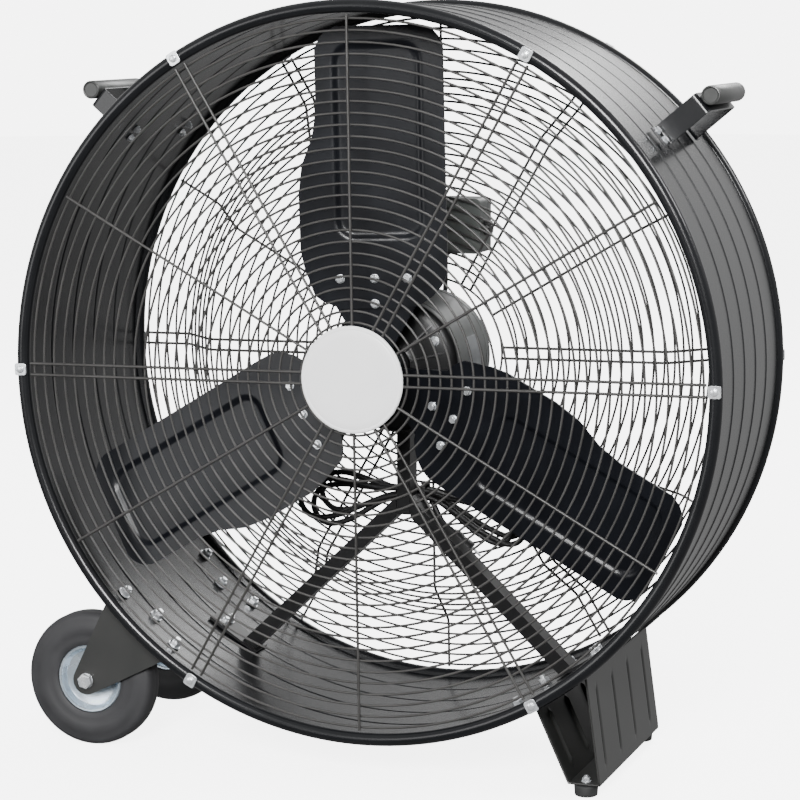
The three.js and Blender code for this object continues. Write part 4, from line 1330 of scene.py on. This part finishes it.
@dataclass
class SwitchBox:
    """The moulded switch box: rounded walls, screwed cover, knob with a pointer, motor lead."""

    left: float = -2.0
    right: float = 70.0
    low: float = 136.0
    high: float = 212.0
    front: float = 126.4
    back: float = 172.3

    def build(self) -> None:
        """Makes the box, its cover, the knob and the motor lead."""
        self.box()
        self.knob()
        self.lead()

    def box(self) -> None:
        """Walls with rounded corners and a parting line, and the cover with four screws."""
        corners = [(self.right, self.high, 8), (self.left, self.high, 8)]
        corners += [(self.left, self.low, 8), (self.right, self.low, 8)]
        body = Shape()
        outer = rounded(corners, 6)
        body.plate(outer, self.front, self.back - 12.6)
        body.plate(outer, self.back - 11.8, self.back)
        inset = [(x * 0.985 + 0.5, z * 0.99 + 1.7) for x, z in outer]
        body.plate(inset, self.back - 12.8, self.back - 11.6)
        body.build("box_body", BOX_PLASTIC, bevel=1.2, replaces=["switch_box"])
        cover = Shape()
        cover.plate(outer, self.back + 0.2, self.back + 2.6)
        cover.build("box_lid", BOX_PLASTIC, bevel=0.8, replaces=["switch_box_cover"])
        screws = Shape()
        for x in (self.left + 8, self.right - 8):
            for z in (self.low + 8, self.high - 8):
                spot = Vector((x, self.back + 2.5, z))
                head = Shape()
                head.spin([(3.6, 0.0), (3.5, 0.9), (2.4, 1.7), (0.9, 2.0), (0.7, 1.2), (0.0, 1.1)], 20)
                screws.merge(head, standing(spot, BACKWARD))
        screws.build("box_screws", ZINC)

    def knob(self) -> None:
        """Fluted knob on a plain skirt, with a raised white pointer."""
        centre = Vector((self.right + 0.4, 149.3, 171.0))
        place = standing(centre, Vector((1, 0, 0)))
        knob = Shape()
        rings, facets, skirt_top, radius = [], 72, 1.5, 10.9
        for height, lift in ((0.0, 0.0), (1.4, 0.0), (1.6, -0.8), (7.4, -0.9), (8.6, -1.6), (8.9, -2.8)):
            ring = []
            for k, angle in enumerate(steps_round(facets)):
                flute = -0.45 if k % 4 in (1, 2) and height > skirt_top else 0.0
                reach = radius + lift + flute
                ring.append(Vector((reach * math.cos(angle), reach * math.sin(angle), height)))
            rings.append(ring)
        knob.lattice(rings, False, True)
        knob.faces.append(tuple(range(facets - 1, -1, -1)))
        last = (len(rings) - 1) * facets
        knob.faces.append(tuple(range(last, last + facets)))
        knob.moved(place).build("knob_cap", NYLON, Body.KNOB, Shading.FORMED, replaces=["switch_knob"])
        bar = Shape()
        corners = [(-1.1, 0, 0), (1.1, 0, 0), (1.1, 7, 1), (-1.1, 7, 1)]
        bar.prism([Vector((x, y, 8.7)) for x, y in rounded(corners, 3)], UPWARD)
        upright = Matrix.Translation(centre) @ pointer_up()
        bar.moved(upright).build("knob_pointer", BADGE, Body.KNOB, bevel=0.2)

    def lead(self) -> None:
        """The lead from the box's underside to the boss on the motor's rear bell."""
        knots = [(160.4, 135.7), (160.4, 112.0), (160.2, 94.0), (157.6, 79.0), (150.5, 67.0)]
        knots += [(142.0, 62.2), (137.8, 62.0), (134.0, 62.0)]
        path = flow([Vector((8.0, y, z)) for y, z in knots], 6)
        lead = Shape()
        lead.tube(path, 3.4, 20)
        lead.build("motor_lead_jacket", JACKET, shading=Shading.ROUND, replaces=["motor_lead"])
        gland = Shape()
        for spot, normal in (((8, 160.4, 135.8), -UPWARD), ((8, 134.0, 62), BACKWARD)):
            gland.merge(LEAD_GLAND.shape(), standing(Vector(spot), normal, 0.2))
        gland.build("motor_lead_glands", NYLON, bevel=0.6)


def pointer_up() -> Matrix:
    """Turns a shape drawn along +Z to face +X with its +Y upwards."""
    return Matrix(((0, 0, 1, 0), (1, 0, 0, 0), (0, 1, 0, 0), (0, 0, 0, 1)))


# ---- Power cord -----------------------------------------------------------------------------


def flow(knots: Sequence[Vector], steps: int = 8) -> list[Vector]:
    """A smooth line through points.

    Args:
        knots: Points that the line passes through.
        steps: Pieces between one point and the next.

    Returns:
        Points along the line, the knots among them.
    """
    ends = [2 * knots[0] - knots[1], *knots, 2 * knots[-1] - knots[-2]]
    line = []
    for p0, p1, p2, p3 in zip(ends, ends[1:], ends[2:], ends[3:]):
        d0, d1, d2 = (p1 - p0).length, (p2 - p1).length, (p3 - p2).length
        leave = ((p1 - p0) / d0 * d1 + (p2 - p1) / d1 * d0) / (d0 + d1) * d1
        arrive = ((p2 - p1) / d1 * d2 + (p3 - p2) / d2 * d1) / (d1 + d2) * d1
        for s in range(steps):
            t = s / steps
            line.append(
                p1 * (2 * t**3 - 3 * t**2 + 1) + leave * (t**3 - 2 * t**2 + t)
                + p2 * (3 * t**2 - 2 * t**3) + arrive * (t**3 - t**2)
            )
    line.append(knots[-1])
    return line


@dataclass
class PowerCord:
    """The power cord: down the back of the fan, then folded into a hank on the motor's mount."""

    radius: float = 4.0
    waist_z: float = -186.7
    exit_spot: tuple[float, float, float] = (-42.6, 149.3, 169)
    plug_spot: tuple[float, float, float] = (45.1, 56.0, -232.8)

    def fall(self) -> list[Vector]:
        """The cord from its gland: out, down behind the guard and in under the motor."""
        spots = [self.exit_spot, (-56, 149.3, 169), (-70, 149.3, 165), (-80, 149.3, 157)]
        spots += [(-88, 149.3, 143), (-93, 149.3, 124), (-94, 149, 101), (-93, 148.5, 69), (-90, 148, 37)]
        spots += [(-84, 148, 5), (-76, 148, -27), (-66, 148, -57), (-55, 147, -83), (-46, 142, -105)]
        spots += [(-39, 131, -122), (-33, 117, -130), (-28, 102, -133), (-22, 87, -136), (-16, 72, -142)]
        spots += [(-12, 59, -152), (-10, 54, -163), (-4, 50.8, -173.5), (6, 49.6, -180)]
        return [Vector(s) for s in spots]

    def lobe(self, side: int, share: float, tilt: float, start: Vector, end: Vector) -> list[Vector]:
        """One drooping loop of the hank, from the waist out and back to the waist.

        Args:
            side: -1 for the left lobe, 1 for the right.
            share: Its length, 1 for the outermost.
            tilt: How far its axis points below the horizontal, in degrees.
            start: y and height in the waist of the strand that leaves, as a vector.
            end: The same for the strand that comes back.

        Returns:
            Points of the loop, 15 of them.
        """
        reach, half = (150.0, 27.0) if side < 0 else (146.0, 20.5)
        length, lead = reach * share, 1.0 if start.z > end.z else -1.0
        outward = [(0.06, 0.04), (0.2, 0.2), (0.4, 0.56), (0.58, 0.86), (0.7, 0.97)]
        half_path = [(length * a, half * b) for a, b in outward]
        tip = [polar(half, angle) for angle in (60.0, 30.0, 0.0, -30.0, -60.0)]
        path = [*half_path, *((length - half + p.x, p.z) for p in tip)]
        path += [(a, -b) for a, b in half_path[::-1]]
        cos, sin = math.cos(math.radians(tilt)), math.sin(math.radians(tilt))
        spots = []
        for k, (along, across) in enumerate(path):
            t = k / (len(path) - 1)
            x, z = along * cos + lead * across * sin, -along * sin + lead * across * cos
            root = start.lerp(end, t) * max(0.0, 1 - along / 60)
            y = start.y + (end.y - start.y) * t
            spots.append(Vector((side * (20 + x), y, self.waist_z + z + root.z)))
        return spots

    def hank(self) -> list[Vector]:
        """The hank's strands: loops to the right and to the left in turn, each in its own layer."""
        layers = (49.4, 56.0, 62.6)
        passes = [Vector((0, y, z)) for y in layers for z in (4.2, -4.2)]
        passes.append(Vector((0, 59.5, 4.2)))
        plan = [(1, 1.0, 20.0), (-1, 1.0, 8.0), (1, 0.88, 24.0)]
        plan += [(-1, 0.9, 14.0), (1, 0.96, 17.0), (-1, 0.8, 4.0)]
        spots: list[Vector] = []
        for k, (side, share, tilt) in enumerate(plan):
            spots.extend(self.lobe(side, share, tilt, passes[k], passes[k + 1]))
        return spots

    def tail(self) -> list[Vector]:
        """The last stretch, from the waist down to the plug."""
        spots = [(-6.0, 60.0, -182.6), (8.0, 60.5, -186.0), (19.0, 60.0, -194.0), (27.0, 58.6, -206.0)]
        spots += [(33.0, 57.2, -217.0), (38.6, 56.2, -225.6), self.plug_spot]
        return [Vector(s) for s in spots]

    def build(self) -> None:
        knots = self.fall() + self.hank() + self.tail()
        line = flow(knots, 5)
        curve = bpy.data.curves.new("power_cord", "CURVE")
        curve.dimensions = "3D"
        spline = curve.splines.new("POLY")
        spline.points.add(len(line) - 1)
        for spot, point in zip(line, spline.points):
            point.co = (*(AXIS + spot * MM), 1)
        curve.bevel_depth = self.radius * MM
        curve.bevel_resolution = 4
        curve.use_fill_caps = True
        curve.materials.append(JACKET.material())
        cord = bpy.data.objects.new("power_cord", curve)
        bpy.context.scene.collection.objects.link(cord)
        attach(cord, Body.FRAME.value)
        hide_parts("cord_lead", "cord_hank", "cord_tail")
        pieces = [self.gland(), self.tie(), self.plug(), self.prongs()]

    def gland(self) -> bpy.types.Object:
        """The gland nut and its ribbed, tapered strain relief."""
        profile = [(0.0, 0.2), (9.8, 0.2), (9.8, 10.4), (8.8, 11.8), (7.6, 12.2)]
        for k in range(7):
            start, radius = 13.0 + 3.7 * k, 7.5 - 0.33 * k
            profile += [(radius, start), (radius, start + 2.2)]
            profile += [(radius - 0.9, start + 2.5), (radius - 0.9, start + 3.4)]
        profile += [(5.0, 39.6), (4.1, 39.8), (0.0, 39.8)]
        gland = Shape()
        gland.spin(profile, 36)
        place = standing(Vector((-2.1, 149.3, 169)), Vector((-1, 0, 0)))
        return gland.moved(place).build("cord_strain_relief", NYLON, replaces=["cord_gland"])

    def tie(self) -> bpy.types.Object:
        """The strap round the hank's waist, with its buckle."""
        strap = Shape()
        outer = rounded([(44.8, -174.8, 4), (67.2, -174.8, 4), (67.2, -198.6, 4), (44.8, -198.6, 4)], 5)
        inner = rounded([(46.0, -176.0, 3), (66.0, -176.0, 3), (66.0, -197.4, 3), (46.0, -197.4, 3)], 5)
        rows = []
        for x, ring in ((11.0, outer), (18.0, outer), (18.0, inner), (11.0, inner)):
            rows.append([Vector((x, y, z)) for y, z in ring])
        strap.lattice(rows, True, True)
        corners = [(50, -174.9, 1), (62, -174.9, 1), (62, -171.6, 2), (50, -171.6, 2)]
        strap.prism([Vector((9.6, y, z)) for y, z in rounded(corners, 3)], Vector((10.0, 0, 0)))
        return strap.build("cord_tie_strap", NYLON, bevel=0.3)

    def plug_place(self) -> Matrix:
        """The plug's place: drawn along +Z, it points down and to the right."""
        down = math.radians(44)
        return standing(Vector(self.plug_spot), Vector((math.cos(down), 0, -math.sin(down))))

    def plug(self) -> bpy.types.Object:
        """The moulded plug: ribbed relief, waisted body, flat face."""
        profile = [(0.0, 0.0), (4.6, 0.0), (5.4, 3.0), (4.9, 3.6), (4.9, 4.6), (5.8, 5.2), (6.2, 8.0)]
        profile += [(5.6, 8.6), (5.6, 9.6), (6.6, 10.4), (7.8, 12.4), (9.8, 16), (10.6, 22), (9.9, 28)]
        profile += [(11.2, 34), (12.4, 39), (12.7, 43.6), (12.1, 44.8), (0.0, 44.8)]
        plug = Shape()
        plug.spin(profile, 40)
        return plug.moved(self.plug_place()).build("plug_body", NYLON, replaces=["cord_plug"])

    def prongs(self) -> bpy.types.Object:
        """Two flat blades with rounded tips and a round earth pin."""
        prongs = Shape()
        for side in (-1, 1):
            x, y = 2.0, side * 6.3
            corners = rounded([(-3.1, 0, 0), (3.1, 0, 0), (3.1, 17.0, 1.6), (-3.1, 17.0, 1.6)], 3)
            blade = [Vector((x + a, y - 0.75, 44.4 + b)) for a, b in corners]
            prongs.prism(blade, Vector((0, 1.5, 0)))
        pin = [(0.0, 44.4), (2.4, 44.4), (2.4, 60.5), (1.9, 62.2), (1.0, 63.2), (0.0, 63.5)]
        prongs.spin(pin, 20, Vector((-6, 0, 0)))
        return prongs.moved(self.plug_place()).build("plug_prongs", ZINC, bevel=0.2)


# ---- Carried-over pieces and studio ---------------------------------------------------------


@dataclass(frozen=True)
class RoundedSheet:
    """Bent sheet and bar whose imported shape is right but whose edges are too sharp."""

    bevel: float = 0.9
    finishes: tuple[tuple[str, str, Finish], ...] = (
        ("wheel_bracket_front", "fork_front", TEXTURED_COAT),
        ("wheel_bracket_rear", "fork_rear", TEXTURED_COAT),
        ("motor_mount", "motor_cradle", MOUNT_ENAMEL_AND_BELL_SHADE),
        ("strut_left", "strut_bar_left", MOUNT_ENAMEL_AND_BELL_SHADE),
        ("strut_right", "strut_bar_right", MOUNT_ENAMEL_AND_BELL_SHADE),
    )

    def build(self) -> None:
        """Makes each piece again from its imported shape, with rounded edges."""
        for node, name, finish in self.finishes:
            work = bmesh.new()
            work.from_mesh(bpy.data.objects[node].data)
            bmesh.ops.remove_doubles(work, verts=work.verts, dist=0.02 * MM)
            flat = math.radians(2)
            bmesh.ops.dissolve_limit(work, angle_limit=flat, verts=work.verts, edges=work.edges)
            shape = Shape()
            work.verts.ensure_lookup_table()
            shape.points = [(v.co - AXIS) / MM for v in work.verts]
            shape.faces = [tuple(v.index for v in f.verts) for f in work.faces]
            work.free()
            shape.build(name, finish, bevel=self.bevel, replaces=[node])


@dataclass(frozen=True)
class CarriedOver:
    """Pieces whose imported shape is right, and the finish each gets."""

    finishes: tuple[tuple[str, Finish], ...] = (
        ("wheel_bushing_front", STEEL),
        ("wheel_bushing_rear", STEEL),
        ("motor_stator", WINDINGS),
        ("motor_rotor", STEEL),
        ("motor_shaft", STEEL),
        ("bearing_front", STEEL),
        ("bearing_rear", STEEL),
    )

    def dress(self) -> None:
        """Gives each carried-over piece its material."""
        for name, finish in self.finishes:
            thing = bpy.data.objects[name]
            for slot in thing.material_slots:
                slot.material = finish.material()
            LOG.info("%s: carried over, %s", name, finish.name)


@dataclass
class Studio:
    """Camera, soft lights, a glowing floor and a round backdrop."""

    azimuth: float = 19.97
    elevation: float = 8.42
    roll: float = -0.15
    distance: float = 3.555
    lens: float = 118.8
    front_light: float = 0.3
    back_light: float = 1.1
    low_light: float = 0.42
    stage_glow: float = 5.0

    def camera(self) -> None:
        """A long lens from the front, a little to the right and above."""
        data = bpy.data.cameras.new("studio_camera")
        data.lens, data.sensor_width = self.lens, 36
        camera = bpy.data.objects.new("studio_camera", data)
        bpy.context.scene.collection.objects.link(camera)
        turn, lift = math.radians(self.azimuth), math.radians(self.elevation)
        back = Vector((math.sin(turn) * math.cos(lift), -math.cos(turn) * math.cos(lift), math.sin(lift)))
        camera.location = Vector((AXIS.x - 0.0018, 0, 0.4792)) + back * self.distance
        camera.rotation_mode = "QUATERNION"
        spin = Quaternion((0, 0, 1), math.radians(self.roll))
        camera.rotation_quaternion = back.to_track_quat("Z", "Y") @ spin
        bpy.context.scene.camera = camera

    def light(self, name: str, spot: tuple[float, float, float], size: float, power: float) -> None:
        """A square soft light that faces the fan."""
        data = bpy.data.lights.new(name, "AREA")
        data.size, data.energy = size, power
        lamp = bpy.data.objects.new(name, data)
        bpy.context.scene.collection.objects.link(lamp)
        lamp.location = spot
        aim = Vector((0, 0, 0.5)) - Vector(spot)
        lamp.rotation_mode = "QUATERNION"
        lamp.rotation_quaternion = aim.to_track_quat("-Z", "Y")
        lamp.visible_camera = False

    def surround(self) -> None:
        """Light from all round: brighter from behind and above the fan than from its front."""
        world = bpy.data.worlds.new("studio_surround")
        world.use_nodes = True
        tree = world.node_tree
        aim = add_node(tree, "ShaderNodeTexCoord").outputs["Generated"]
        parts = add_node(tree, "ShaderNodeSeparateXYZ", {}, {"Vector": aim})
        span = {"From Min": -1.0, "From Max": 1.0, "To Min": self.front_light, "To Max": self.back_light}
        depth = add_node(tree, "ShaderNodeMapRange", span, {"Value": parts.outputs["Y"]})
        rise = {"From Min": -0.3, "From Max": 0.4, "To Min": self.low_light, "To Max": 1.0}
        height = add_node(tree, "ShaderNodeMapRange", rise, {"Value": parts.outputs["Z"]})
        strength = add_node(
            tree,
            "ShaderNodeMath",
            {"operation": "MULTIPLY"},
            {0: depth.outputs["Result"], 1: height.outputs["Result"]},
        )
        tree.links.new(strength.outputs["Value"], tree.nodes["Background"].inputs["Strength"])
        tree.nodes["Background"].inputs["Color"].default_value = (1, 1, 1, 1)
        bpy.context.scene.world = world

    def glow(self, name: str, strength: float) -> bpy.types.Material:
        """Matt white with light of its own, so the stage shows nearly white.

        Args:
            name: The material's name.
            strength: How bright it is by itself.

        Returns:
            The material.
        """
        made = bpy.data.materials.new(name)
        made.use_nodes = True
        shader = made.node_tree.nodes["Principled BSDF"]
        shader.inputs["Base Color"].default_value = linear("f6f6f6")
        shader.inputs["Roughness"].default_value = 0.9
        shader.inputs["Specular IOR Level"].default_value = 0.0
        shader.inputs["Emission Color"].default_value = linear("ffffff")
        shader.inputs["Emission Strength"].default_value = strength
        return made

    def put(self, name: str, shape: Shape, material: bpy.types.Material) -> None:
        """Adds a piece of the stage, which doesn't light the fan or mirror in it."""
        mesh = bpy.data.meshes.new(name)
        mesh.from_pydata(shape.points, [], shape.faces)
        mesh.materials.append(material)
        stage = bpy.data.objects.new(name, mesh)
        bpy.context.scene.collection.objects.link(stage)
        stage.visible_diffuse = False
        stage.visible_glossy = False
        stage.visible_shadow = False

    def build(self) -> None:
        """Makes the lights, the surroundings, the floor and a round backdrop, in metres."""
        self.surround()
        self.light("key_softbox", (1.0, -4.8, 2.6), 1.5, 540)
        self.light("side_softbox", (4.0, 0.6, 3.4), 1.4, 110)
        self.light("fill_softbox", (-3.1, -4.6, 1.1), 2.4, 92)
        self.light("back_softbox", (0.6, 3.6, 3.0), 1.6, 90)
        floor, wall = Shape(), Shape()
        deep, reach = -0.0006, 18.0
        sides = 64
        floor.points, floor.faces = circle(reach, sides, deep), [tuple(range(sides))]
        self.put("studio_floor", floor, self.glow("painted_floor_white", self.stage_glow))
        rows = []
        for k in range(13):
            lift = math.radians(7.4 * k)
            ring = [
                Vector((math.cos(a), math.sin(a), 0)) * reach * math.cos(lift) for a in steps_round(sides)
            ]
            rows.append([p + Vector((0, 0, deep - 0.2 + reach * math.sin(lift))) for p in ring])
        wall.lattice(rows, False, True)
        self.put("studio_backdrop", wall, self.glow("painted_backdrop_white", self.stage_glow + 0.8))


def main() -> None:
    """Builds the fan in order."""
    logging.basicConfig(level=logging.INFO, format="%(message)s")
    studio = Studio()
    studio.camera()
    PowerCord().build()
    Drum().build()
    guards = Guards()
    guards.front()
    guards.rear()
    guards.hold()
    guards.badge()
    Handles().build()
    Wheel("front", -1).build()
    Wheel("rear", 1).build()
    DrumBolts().build()
    Stand().build()
    Motor().build()
    Rotor().build()
    SwitchBox().build()
    RoundedSheet().build()
    CarriedOver().dress()
    studio.build()
    bpy.context.view_layer.update()


if __name__ == "__main__":
    main()
